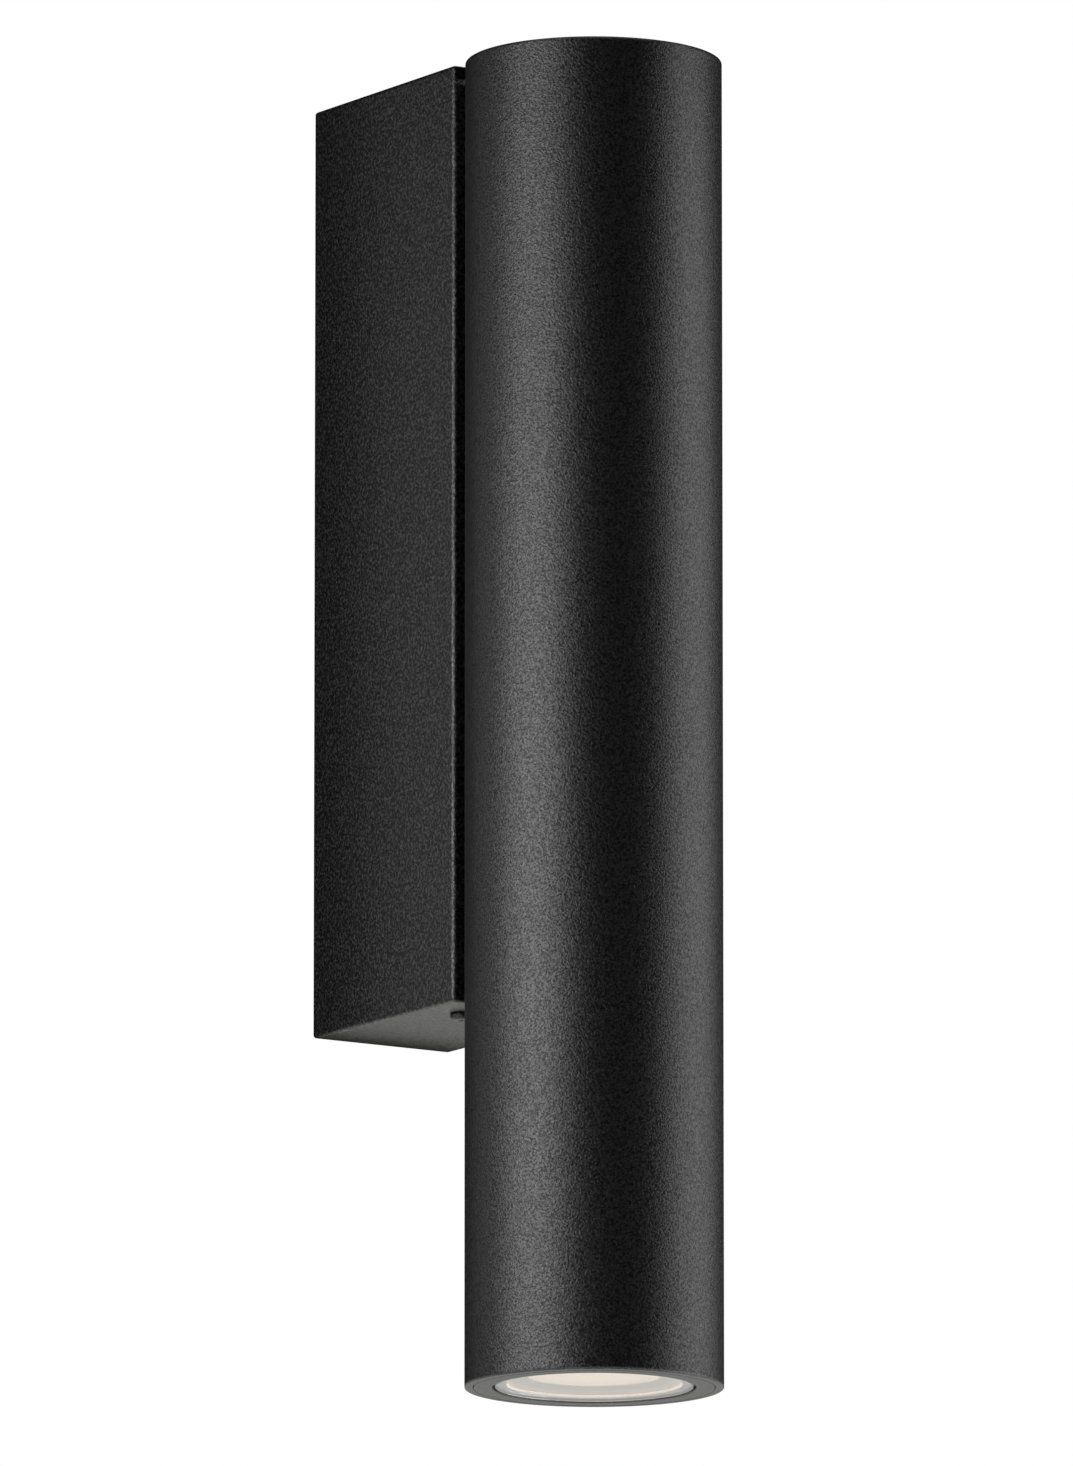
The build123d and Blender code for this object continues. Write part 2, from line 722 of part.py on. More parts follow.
# LED holder: a disc with a pocket for the board and a round window for the emitter
with BuildPart() as led_holder:
    with BuildSketch(tube_level(holder_level)):
        Circle(holder_radius)
        Circle(holder_window, mode=Mode.SUBTRACT)
        with Locations((holder_screw_x, 0), (-holder_screw_x, 0)):
            Circle(m3["shank"] + easy, mode=Mode.SUBTRACT)
    extrude(amount=holder_thickness)
    with BuildSketch(tube_level(board_face)):
        Rectangle(board_side + 2 * slip, board_side + 2 * slip)
    extrude(amount=board_thickness + pad_thickness, mode=Mode.SUBTRACT)

holder_screw = button_screw(m3, holder_screw_length)
with BuildPart() as holder_screws:
    for x in (holder_screw_x, -holder_screw_x):
        with Locations(Plane(origin=(x, tube_y, tube_bottom + holder_level), z_dir=(0, 0, -1))):
            add(holder_screw)

# ---------------------------------------------------------------- optic

# Reflector: a spun cup from the LED holder down to the diffuser
with BuildPart() as reflector:
    with BuildSketch(tube_section):
        with BuildLine():
            mouth = (aperture_radius, reflector_level)
            throat = (reflector_throat, holder_level)
            outer_throat = (reflector_throat + reflector_wall, holder_level)
            outer_mouth = (aperture_radius + reflector_wall, reflector_level + reflector_wall)
            rim_top = (diffuser_radius, reflector_level + reflector_wall)
            rim = (diffuser_radius, reflector_level)
            SagittaArc(mouth, throat, -reflector_bulge)
            Line(throat, outer_throat)
            SagittaArc(outer_throat, outer_mouth, reflector_bulge)
            Polyline(outer_mouth, rim_top, rim, mouth)
        make_face()
    revolve(axis=tube_axis)

with BuildPart() as diffuser:
    with BuildSketch(tube_level(diffuser_level)):
        Circle(diffuser_radius)
    extrude(amount=diffuser_thickness)

# Bezel: the white ring round the light window, with a funnel up to the diffuser's seat
core_floor = bezel_flange_level + bezel_core_wall
with BuildPart() as optic_bezel:
    with BuildSketch(tube_section):
        with BuildLine():
            Polyline(
                (window_radius, bezel_level),
                (bezel_nose_radius, bezel_level),
                (bezel_nose_radius, bezel_flange_level),
                (glass_radius, bezel_flange_level),
                (glass_radius, chamber_level),
                (glass_radius - bezel_core_wall, chamber_level),
                (glass_radius - bezel_core_wall, core_floor),
                (diffuser_pocket + bezel_core_wall, core_floor),
                (diffuser_pocket + bezel_core_wall, chamber_level),
                (diffuser_pocket, chamber_level),
                (diffuser_pocket, diffuser_level),
                (aperture_radius, diffuser_level),
                close=True,
            )
        make_face()
    revolve(axis=tube_axis)

# ---------------------------------------------------------------- front glass and retaining ring

with BuildPart() as front_glass:
    with BuildSketch(tube_section):
        with BuildLine():
            Polyline(
                (0, glass_recess),
                (glass_face_radius - glass_chamfer, glass_recess),
                (glass_face_radius, glass_recess + glass_chamfer),
                (glass_face_radius, flange_level),
                (glass_radius, flange_level),
                (glass_radius, gasket_level),
                (0, gasket_level),
                close=True,
            )
        make_face()
    revolve(axis=tube_axis)

with BuildPart() as glass_gasket:
    with BuildSketch(tube_level(gasket_level)):
        Circle(glass_radius)
        Circle(gasket_inner, mode=Mode.SUBTRACT)
    extrude(amount=glass_gasket_thickness)

with BuildPart() as front_seal:
    with BuildSketch(tube_level(seal_level)):
        Circle(glass_radius)
        Circle(glass_face_radius + slip, mode=Mode.SUBTRACT)
    extrude(amount=front_seal_thickness)

# Retaining ring: its outside is the thread, drawn plain at the thread's outer diameter
with BuildPart() as retaining_ring:
    with BuildSketch(tube_section):
        with BuildLine():
            Polyline(
                (lip_radius, 0),
                (ring_radius - ring_chamfer, 0),
                (ring_radius, ring_chamfer),
                (ring_radius, ring_seal_seat - groove_half),
                (groove_floor, ring_seal_seat - groove_half),
                (groove_floor, ring_seal_seat + groove_half),
                (ring_radius, ring_seal_seat + groove_half),
                (ring_radius, ring_height),
                (pocket_radius, ring_height),
                (pocket_radius, seal_level),
                (lip_radius, seal_level),
                close=True,
            )
        make_face()
    revolve(axis=tube_axis)

with BuildPart() as ring_seal:
    with BuildSketch(tube_section):
        with Locations((seal_radius, ring_seal_seat)):
            Circle(seal_section)
    revolve(axis=tube_axis)

# ---------------------------------------------------------------- the finished pieces

pieces = {
    "wall_gasket": wall_gasket,
    "wall_bracket": wall_bracket,
    "cable_grommet": cable_grommet,
    "wall_box": wall_box,
    "box_fixing_screws": box_fixing_screws,
    "led_driver": led_driver,
    "driver_screws": driver_screws,
    "terminal_block": terminal_block,
    "terminal_clamps": terminal_clamps,
    "terminal_screws": terminal_screws,
    "block_screws": block_screws,
    "earth_tag": earth_tag,
    "earth_washer": earth_washer,
    "earth_screw": earth_screw,
    **supply_leads,
    "earth_lead": earth_lead,
    **led_leads,
    "tube_body": tube_body,
    "saddle_gasket": saddle_gasket,
    "clamp_bar": clamp_bar,
    "tube_screw_washers": tube_screw_washers,
    "tube_screws": tube_screws,
    "lead_bush": lead_bush,
    "top_cap": top_cap,
    "top_cap_seal": top_cap_seal,
    "heat_sink": heat_sink,
    "tube_circlip": tube_circlip,
    "thermal_pad": thermal_pad,
    "led_board": led_board,
    "led_emitter": led_emitter,
    "led_holder": led_holder,
    "holder_screws": holder_screws,
    "reflector": reflector,
    "diffuser": diffuser,
    "optic_bezel": optic_bezel,
    "front_glass": front_glass,
    "glass_gasket": glass_gasket,
    "front_seal": front_seal,
    "retaining_ring": retaining_ring,
    "ring_seal": ring_seal,
}
for name, piece in pieces.items():
    piece.part.label = name
    export_step(piece.part, f"parts/{name}.step")
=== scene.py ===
"""Dressed model of an upright tube wall light, for Blender 4.5.

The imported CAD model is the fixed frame: every piece is in metres, in its frame, with the
origin on the wall behind the box, +Z up, -Y out from the wall and +X to the right for someone
who faces the wall. Sizes that come from a drawing are written in millimetres times MM.
"""

import json
import logging
import math
from dataclasses import dataclass
from enum import Enum
from functools import cached_property

import bmesh
import bpy
from mathutils import Matrix, Vector


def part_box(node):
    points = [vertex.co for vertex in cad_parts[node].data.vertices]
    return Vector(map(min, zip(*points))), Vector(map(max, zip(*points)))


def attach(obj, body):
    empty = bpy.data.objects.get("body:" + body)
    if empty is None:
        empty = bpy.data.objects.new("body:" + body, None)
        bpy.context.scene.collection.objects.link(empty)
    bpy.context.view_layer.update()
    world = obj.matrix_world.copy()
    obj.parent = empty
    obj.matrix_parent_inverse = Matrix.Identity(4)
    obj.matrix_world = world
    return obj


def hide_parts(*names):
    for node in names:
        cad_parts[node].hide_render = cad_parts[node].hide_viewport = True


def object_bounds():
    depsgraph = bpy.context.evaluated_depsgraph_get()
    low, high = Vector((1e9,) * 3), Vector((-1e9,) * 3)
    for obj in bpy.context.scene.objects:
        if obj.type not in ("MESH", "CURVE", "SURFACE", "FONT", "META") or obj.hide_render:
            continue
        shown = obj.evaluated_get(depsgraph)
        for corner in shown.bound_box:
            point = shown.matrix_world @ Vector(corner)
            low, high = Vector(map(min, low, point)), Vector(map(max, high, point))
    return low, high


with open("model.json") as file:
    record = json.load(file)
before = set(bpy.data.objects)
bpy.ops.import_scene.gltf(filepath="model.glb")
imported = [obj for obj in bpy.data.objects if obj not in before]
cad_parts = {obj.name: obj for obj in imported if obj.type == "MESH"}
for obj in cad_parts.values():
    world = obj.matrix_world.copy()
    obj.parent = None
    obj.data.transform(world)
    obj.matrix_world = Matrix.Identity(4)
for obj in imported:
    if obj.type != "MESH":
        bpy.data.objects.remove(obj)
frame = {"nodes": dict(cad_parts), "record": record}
cad_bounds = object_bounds()

LOG = logging.getLogger("tube_wall_light")
MM = 0.001
FULL_TURN = 2 * math.pi
SHARP_ANGLE = math.radians(38)
ROUND_SHARES = (0.0, 0.25, 0.5, 0.75, 1.0)  # where a rounded corner has points
ROUND_LIMIT = 0.45  # of a side, which a corner's rounding leaves to its neighbour
HOLD = 0.1  # of a corner's rounding
POINT_SLACK = 1e-7
WELD_SLACK = 1e-6
HALF = 0.5  # also parts a count or a switch of 0 from one of 1
WAVE_PERIOD = FULL_TURN / 20  # the wave texture's period at scale 1
DRAWN_STRETCH = (1, 1, 0.02)  # draws a grain out to upright lines
MIX_FACTOR, MIX_FIRST, MIX_SECOND, MIX_COLOUR = 0, 6, 7, 2  # a colour mix's sockets

UP = Vector((0, 0, 1))
OUTWARD = Vector((0, -1, 0))
tube_low, tube_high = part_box("tube_body")
TUBE_CENTRE = Vector(((tube_low.x + tube_high.x) / 2, (tube_low.y + tube_high.y) / 2, tube_low.z))

Section = list[tuple[float, float, float]]  # radius, height and rounding of each corner
Node = bpy.types.Node
Socket = bpy.types.NodeSocket
Feeds = dict[str | int, object]  # a node's inputs by name or number; see Graph.feed


# ---------------------------------------------------------------- small tools


def linear(code: str) -> tuple[float, float, float, float]:
    """Turn an sRGB hex colour to a linear one.

    Args:
        code: The colour as "#rrggbb".

    Returns:
        Linear red, green and blue, and an alpha of 1.
    """
    parts = [int(code[i : i + 2], 16) / 255 for i in (1, 3, 5)]
    bent = [c / 12.92 if c <= 0.04045 else ((c + 0.055) / 1.055) ** 2.4 for c in parts]
    return (*bent, 1.0)


class Graph:
    """A node tree that is drawn node by node."""

    def __init__(self, tree: bpy.types.NodeTree) -> None:
        """Take up a tree."""
        self.tree = tree

    def feed(self, node: Node, inputs: Feeds) -> None:
        """Set a node's inputs, or link them.

        Args:
            node: The node.
            inputs: Input name or number to a value, to what feeds it, or to a list of feeds. A
                feed is a socket, or a node for its first output.
        """
        for key, given in inputs.items():
            for value in given if isinstance(given, list) else [given]:
                source = value.outputs[0] if isinstance(value, Node) else value
                if isinstance(source, Socket):
                    self.tree.links.new(source, node.inputs[key])
                else:
                    node.inputs[key].default_value = source

    def add(self, kind: str, inputs: Feeds | None = None, **settings: object) -> Node:
        """Add a node with its settings, and with its inputs set or linked.

        Args:
            kind: The node's type name.
            inputs: What its inputs get; see feed.
            **settings: The node's own properties.

        Returns:
            The new node.
        """
        node = self.tree.nodes.new(kind)
        for name, value in settings.items():
            setattr(node, name, value)
        self.feed(node, inputs or {})
        return node


def eased(section: Section) -> list[tuple[float, float]]:
    """Round the corners of a closed section.

    Args:
        section: Corners as radius, height and rounding, where rounding is how far from the
            corner the round begins.

    Returns:
        The outline's points, as radius and height.
    """
    outline: list[tuple[float, float]] = []
    for index, (radius, height, rounding) in enumerate(section):
        if rounding <= 0:
            outline.append((radius, height))
            continue
        corner = Vector((radius, height))
        before = Vector(section[index - 1][:2]) - corner
        after = Vector(section[(index + 1) % len(section)][:2]) - corner
        start, end = (
            corner + side.normalized() * min(rounding, side.length * ROUND_LIMIT)
            for side in (before, after)
        )
        points = [
            start * (1 - t) ** 2 + corner * 2 * t * (1 - t) + end * t**2 for t in ROUND_SHARES
        ]
        # a point just outside the round on each side keeps the flat's shading flat
        points = [start + (start - corner) * HOLD, *points, end + (end - corner) * HOLD]
        outline += [(point.x, point.y) for point in points]
    return outline


def turned_mesh(name: str, section: Section, segments: int) -> bpy.types.Mesh:
    """Turn a closed section round the tube's axis.

    Args:
        name: The mesh's name.
        section: The section's corners, with heights above the tube's lower end.
        segments: Faces round the axis.

    Returns:
        A closed mesh with its faces outwards.
    """
    shape = bmesh.new()
    rings = []
    for radius, height in eased(section):
        count = segments if radius > POINT_SLACK else 1
        angles = [FULL_TURN * i / segments for i in range(count)]
        spots = [Vector((radius * math.cos(a), radius * math.sin(a), height)) for a in angles]
        rings.append([shape.verts.new(TUBE_CENTRE + spot) for spot in spots])
    for lower, upper in zip(rings, rings[1:] + rings[:1]):
        if len(lower) == 1 and len(upper) == 1:
            continue
        for i in range(segments):
            j = (i + 1) % segments
            around = [lower[i % len(lower)], lower[j % len(lower)]]
            around += [upper[j % len(upper)], upper[i % len(upper)]]
            shape.faces.new(list(dict.fromkeys(around)))
    bmesh.ops.recalc_face_normals(shape, faces=shape.faces[:])
    mesh = bpy.data.meshes.new(name)
    shape.to_mesh(mesh)
    shape.free()
    return mesh


def link_object(name: str, mesh: bpy.types.Mesh) -> bpy.types.Object:
    """Put a mesh in the scene as an object at the origin.

    Args:
        name: The object's name.
        mesh: Its mesh.

    Returns:
        The object.
    """
    piece = bpy.data.objects.new(name, mesh)
    bpy.context.scene.collection.objects.link(piece)
    return piece


def round_size(node: str) -> tuple[float, float, float]:
    """Measure a CAD node that stands round the tube's axis.

    Args:
        node: The node's name.

    Returns:
        Its radius, and the heights of its foot and its top above the tube's lower end.
    """
    low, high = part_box(node)
    return (high.x - low.x) / 2, low.z - TUBE_CENTRE.z, high.z - TUBE_CENTRE.z


# ---------------------------------------------------------------- finishes


class Surface(Graph):
    """A new material, which a finish dresses.

    Attributes:
        material: The material.
        shader: Its principled shader.
        colour: Its base colour, once a finish has set it.
        grain: The pattern of its relief, once a finish has set it.
        bump: The node that raises the relief.
    """

    colour: Socket
    grain: Socket
    bump: Node

    def __init__(self, name: str, inputs: Feeds) -> None:
        """Start the material.

        Args:
            name: Its name.
            inputs: What its shader's inputs get; see Graph.feed.
        """
        self.material = bpy.data.materials.new(name)
        self.material.use_nodes = True
        super().__init__(self.material.node_tree)
        self.shader = self.tree.nodes["Principled BSDF"]
        self.feed(self.shader, inputs)

    @cached_property
    def place(self) -> Socket:
        """Give each point's object coordinates."""
        return self.add("ShaderNodeTexCoord").outputs["Object"]


class Grain(Enum):
    """How a surface was made, which sets the pattern of its relief."""

    MOULDED = "the fine even bite of a mould"
    COATED = "short winding ridges where powder grains flowed together"
    TURNED = "rings left by a lathe tool round the tube's axis"
    DRAWN = "upright lines left by a die or a rolling mill"
    CELLS = "cut cells of a foam"


@dataclass(frozen=True)
class Finish:
    """A finish: a real material and how its surface was made.

    Attributes:
        name: The material's name.
        colour: Its main colour, as sRGB hex.
        shade: The colour that its patches tend to.
        roughness: Lowest and highest roughness over the grain.
        grain_mm: The real size of the pattern of its relief.
        relief_mm: The pattern's depth.
        patch_mm: The size of the patches of the two colours.
        grain: The pattern.
        metallic: 1 for a bare metal.
        ior: Index of refraction, which a metal leaves at the default.
    """

    name: str
    colour: str
    shade: str
    roughness: tuple[float, float]
    grain_mm: float
    relief_mm: float
    patch_mm: float
    grain: Grain = Grain.MOULDED
    metallic: float = 0.0
    ior: float = 1.5

    def material(self) -> bpy.types.Material:
        """Make the material.

        Returns:
            The dressed material.
        """
        surface = Surface(self.name, {"Metallic": self.metallic, "IOR": self.ior})
        self.colour_patches(surface)
        self.relief(surface)
        self.dress(surface)
        return surface.material

    def colour_patches(self, surface: Surface) -> None:
        """Colour the surface in soft patches between its colour and its shade.

        Args:
            surface: The material.
        """
        scale = 1 / (self.patch_mm * MM)
        noise = {"Vector": surface.place, "Scale": scale, "Detail": 3.0, "Roughness": 0.6}
        colours = {MIX_FIRST: linear(self.colour), MIX_SECOND: linear(self.shade)}
        colours[MIX_FACTOR] = surface.add("ShaderNodeTexNoise", noise)
        mixed = surface.add("ShaderNodeMix", colours, data_type="RGBA")
        surface.colour = mixed.outputs[MIX_COLOUR]
        surface.feed(surface.shader, {"Base Color": surface.colour})

    def pattern(self, surface: Surface) -> Socket:
        """Add the pattern of the relief.

        Args:
            surface: The material.

        Returns:
            The pattern's value, about 0 to 1.
        """
        scale = 1 / (self.grain_mm * MM)
        if self.grain is Grain.TURNED:
            middle = {"Vector": surface.place, "Location": (0, -TUBE_CENTRE.y, 0)}
            centred = surface.add("ShaderNodeMapping", middle)
            wave = {"Vector": centred, "Scale": WAVE_PERIOD * scale}
            wave |= {"Distortion": 1.5, "Detail": 2.0}
            rings = surface.add("ShaderNodeTexWave", wave, wave_type="RINGS", rings_direction="Z")
            return rings.outputs["Fac"]
        noise = {"Vector": surface.place, "Scale": scale}
        if self.grain is Grain.CELLS:
            cells = surface.add("ShaderNodeTexVoronoi", noise, feature="SMOOTH_F1")
            return cells.outputs["Distance"]
        noise |= {"Detail": 2.0, "Roughness": 0.5}
        if self.grain is Grain.DRAWN:
            along = {"Vector": surface.place, "Scale": DRAWN_STRETCH}
            noise["Vector"] = surface.add("ShaderNodeMapping", along)
        if self.grain is Grain.COATED:
            noise |= {"Detail": 1.0, "Distortion": 0.6}
        return surface.add("ShaderNodeTexNoise", noise).outputs["Fac"]

    def relief(self, surface: Surface) -> None:
        """Give the surface its grain, in height and in roughness.

        Args:
            surface: The material.
        """
        surface.grain = self.pattern(surface)
        low, high = self.roughness
        spread = {"Value": surface.grain, "To Min": high, "To Max": low}
        height = {"Height": surface.grain, "Distance": self.relief_mm * MM}
        surface.bump = surface.add("ShaderNodeBump", height)
        roughness = surface.add("ShaderNodeMapRange", spread)
        surface.feed(surface.shader, {"Roughness": roughness, "Normal": surface.bump})

    def dress(self, surface: Surface) -> None:
        """Add what only this kind of finish has."""


@dataclass(frozen=True)
class Metal(Finish):
    """A bare metal."""

    metallic: float = 1.0


@dataclass(frozen=True)
class PowderCoat(Finish):
    """A textured powder coat, whose pits have a lower specular level than its ridges, and whose
    colour is darker in the pits as painted shade and lighter on the ridges as painted light.

    Attributes:
        sheen: Specular level in the pits and on the ridges.
        pit_shading: Brightness of the colour in the pits and on the ridges: painted shade in the
            pits and painted light on the ridges.
        bite: Values of the pattern that are a pit's floor and a ridge's top.
        edge_mm: How far the coat rounds an edge.
        edge_sheen: What a worn edge adds to the specular level.
        edge_bend: Cosines of how far the rounding bends the surface where the wear starts and
            where it is full.
    """

    grain: Grain = Grain.COATED
    sheen: tuple[float, float] = (0.26, 0.74)
    pit_shading: tuple[float, float] = (0.4, 1.6)
    bite: tuple[float, float] = (0.36, 0.64)
    edge_mm: float = 1.1
    edge_sheen: float = 1.2
    edge_bend: tuple[float, float] = (0.99, 0.85)

    def dress(self, surface: Surface) -> None:
        """Dull the pits and brighten the ridges, with painted shade and painted light in the
        colour, and round and polish the edges.

        Args:
            surface: The material.
        """
        soft = surface.add("ShaderNodeBevel", {"Radius": self.edge_mm * MM}, samples=6)
        surface.feed(surface.bump, {"Normal": soft})
        normals = {0: soft, 1: surface.add("ShaderNodeNewGeometry").outputs["Normal"]}
        bend = surface.add("ShaderNodeVectorMath", normals, operation="DOT_PRODUCT")
        start, full = self.edge_bend
        wear = {"Value": bend.outputs["Value"], "From Min": start, "From Max": full}
        edge = surface.add("ShaderNodeMapRange", wear | {"To Max": self.edge_sheen})
        floor, top = self.bite
        depth = {"Value": surface.grain, "From Min": floor, "From Max": top}
        sheen, pit_shading = (
            surface.add("ShaderNodeMapRange", depth | {"To Min": low, "To Max": high})
            for low, high in (self.sheen, self.pit_shading)
        )
        level = surface.add("ShaderNodeMath", {0: sheen, 1: edge}, operation="ADD")
        # painted shade and light: the colour is darker in the pits and lighter on the ridges
        scaled = {0: surface.colour, "Scale": pit_shading}
        pit_shaded_colour = surface.add("ShaderNodeVectorMath", scaled, operation="SCALE")
        surface.feed(surface.shader, {"Specular IOR Level": level, "Base Color": pit_shaded_colour})


@dataclass(frozen=True)
class Insulation(Finish):
    """Extruded lead insulation, with a second colour in bands round it where it has one.

    Attributes:
        stripe: The second colour, or nothing.
        stripe_mm: A band's width with its gap.
    """

    roughness: tuple[float, float] = (0.3, 0.4)
    grain_mm: float = 0.3
    relief_mm: float = 0.004
    patch_mm: float = 6.0
    grain: Grain = Grain.DRAWN
    stripe: str = ""
    stripe_mm: float = 3.0

    def dress(self, surface: Surface) -> None:
        """Paint the second colour as slanting bands.

        Args:
            surface: The material.
        """
        if not self.stripe:
            return
        wave = {"Vector": surface.place, "Scale": WAVE_PERIOD / (self.stripe_mm * MM)}
        bands = surface.add(
            "ShaderNodeTexWave", wave, wave_type="BANDS", bands_direction="DIAGONAL"
        )
        inside = {0: bands.outputs["Fac"], 1: HALF}
        band = surface.add("ShaderNodeMath", inside, operation="GREATER_THAN")
        colours = {MIX_FIRST: linear(self.colour), MIX_SECOND: linear(self.stripe)}
        mixed = surface.add("ShaderNodeMix", colours | {MIX_FACTOR: band}, data_type="RGBA")
        surface.feed(surface.shader, {"Base Color": mixed.outputs[MIX_COLOUR]})


@dataclass(frozen=True)
class Glowing(Finish):
    """A surface that gives off light, brighter towards the tube's axis.

    Attributes:
        glow: Colour of the light at the axis.
        rim_glow: Colour of the light at the rim.
        glow_radius_mm: The rim's radius.
        strength: Strength of the light.
    """

    glow: str = "#ffffff"
    rim_glow: str = "#ffffff"
    glow_radius_mm: float = 17.4
    strength: float = 1.0

    def dress(self, surface: Surface) -> None:
        """Light the surface, from the rim's colour to the middle's.

        Args:
            surface: The material.
        """
        share = 1 / (self.glow_radius_mm * MM)
        middle = {"Location": (0, -TUBE_CENTRE.y * share, 0), "Scale": (share, share, 0)}
        centred = surface.add("ShaderNodeMapping", {"Vector": surface.place} | middle)
        ball = {"Vector": centred}
        fall = surface.add("ShaderNodeTexGradient", ball, gradient_type="QUADRATIC_SPHERE")
        colours = {MIX_FIRST: linear(self.rim_glow), MIX_SECOND: linear(self.glow)}
        colours[MIX_FACTOR] = fall.outputs["Fac"]
        mixed = surface.add("ShaderNodeMix", colours, data_type="RGBA")
        light = {"Emission Color": mixed.outputs[MIX_COLOUR], "Emission Strength": self.strength}
        surface.feed(surface.shader, light)


@dataclass(frozen=True)
class PaintedLampLightPlastic(Finish):
    """A white plastic with painted lamp light: emission stands in for the lamp's light on its face
    inside a thin lip round the axis, and for a painted highlight on the lip.

    Attributes:
        glow: Colour of the painted light.
        painted_face_light: Strength of the painted light inside the lip.
        painted_lip_highlight: Strength of the painted highlight on the lip.
        lip_mm: The lip's radius.
        lip_wall_mm: How far the lip's painted highlight reaches inwards.
        skin_mm: How far it reaches outwards.
    """

    glow: str = "#ffffff"
    painted_face_light: float = 0.3
    painted_lip_highlight: float = 1.0
    lip_mm: float = 20.2
    lip_wall_mm: float = 0.15
    skin_mm: float = 0.1

    def dress(self, surface: Surface) -> None:
        """Paint the lamp's light and the lip's highlight as emission, by distance from the axis.

        Args:
            surface: The material.
        """
        flat = {"Vector": surface.place, "Location": (0, -TUBE_CENTRE.y, 0), "Scale": (1, 1, 0)}
        level = {0: surface.add("ShaderNodeMapping", flat)}
        radius = surface.add("ShaderNodeVectorMath", level, operation="LENGTH").outputs["Value"]
        lip, wall, skin = (size * MM for size in (self.lip_mm, self.lip_wall_mm, self.skin_mm))
        inside = {"From Min": lip - 2 * wall, "From Max": lip - wall}
        inside |= {"To Min": self.painted_face_light, "To Max": self.painted_lip_highlight}
        outside = {"From Min": lip + skin, "From Max": lip + 2 * skin, "To Min": 1.0, "To Max": 0.0}
        # painted light: emission on the face inside the lip, and a painted highlight on the lip
        rise, fall = (
            surface.add("ShaderNodeMapRange", {"Value": radius} | spread)
            for spread in (inside, outside)
        )
        strength = surface.add("ShaderNodeMath", {0: rise, 1: fall}, operation="MULTIPLY")
        light = {"Emission Strength": strength, "Emission Color": linear(self.glow)}
        surface.feed(surface.shader, light)


@dataclass(frozen=True)
class Clear(Finish):
    """A clear solid, such as polished glass."""

    def dress(self, surface: Surface) -> None:
        """Let light through."""
        surface.feed(surface.shader, {"Transmission Weight": 1.0})


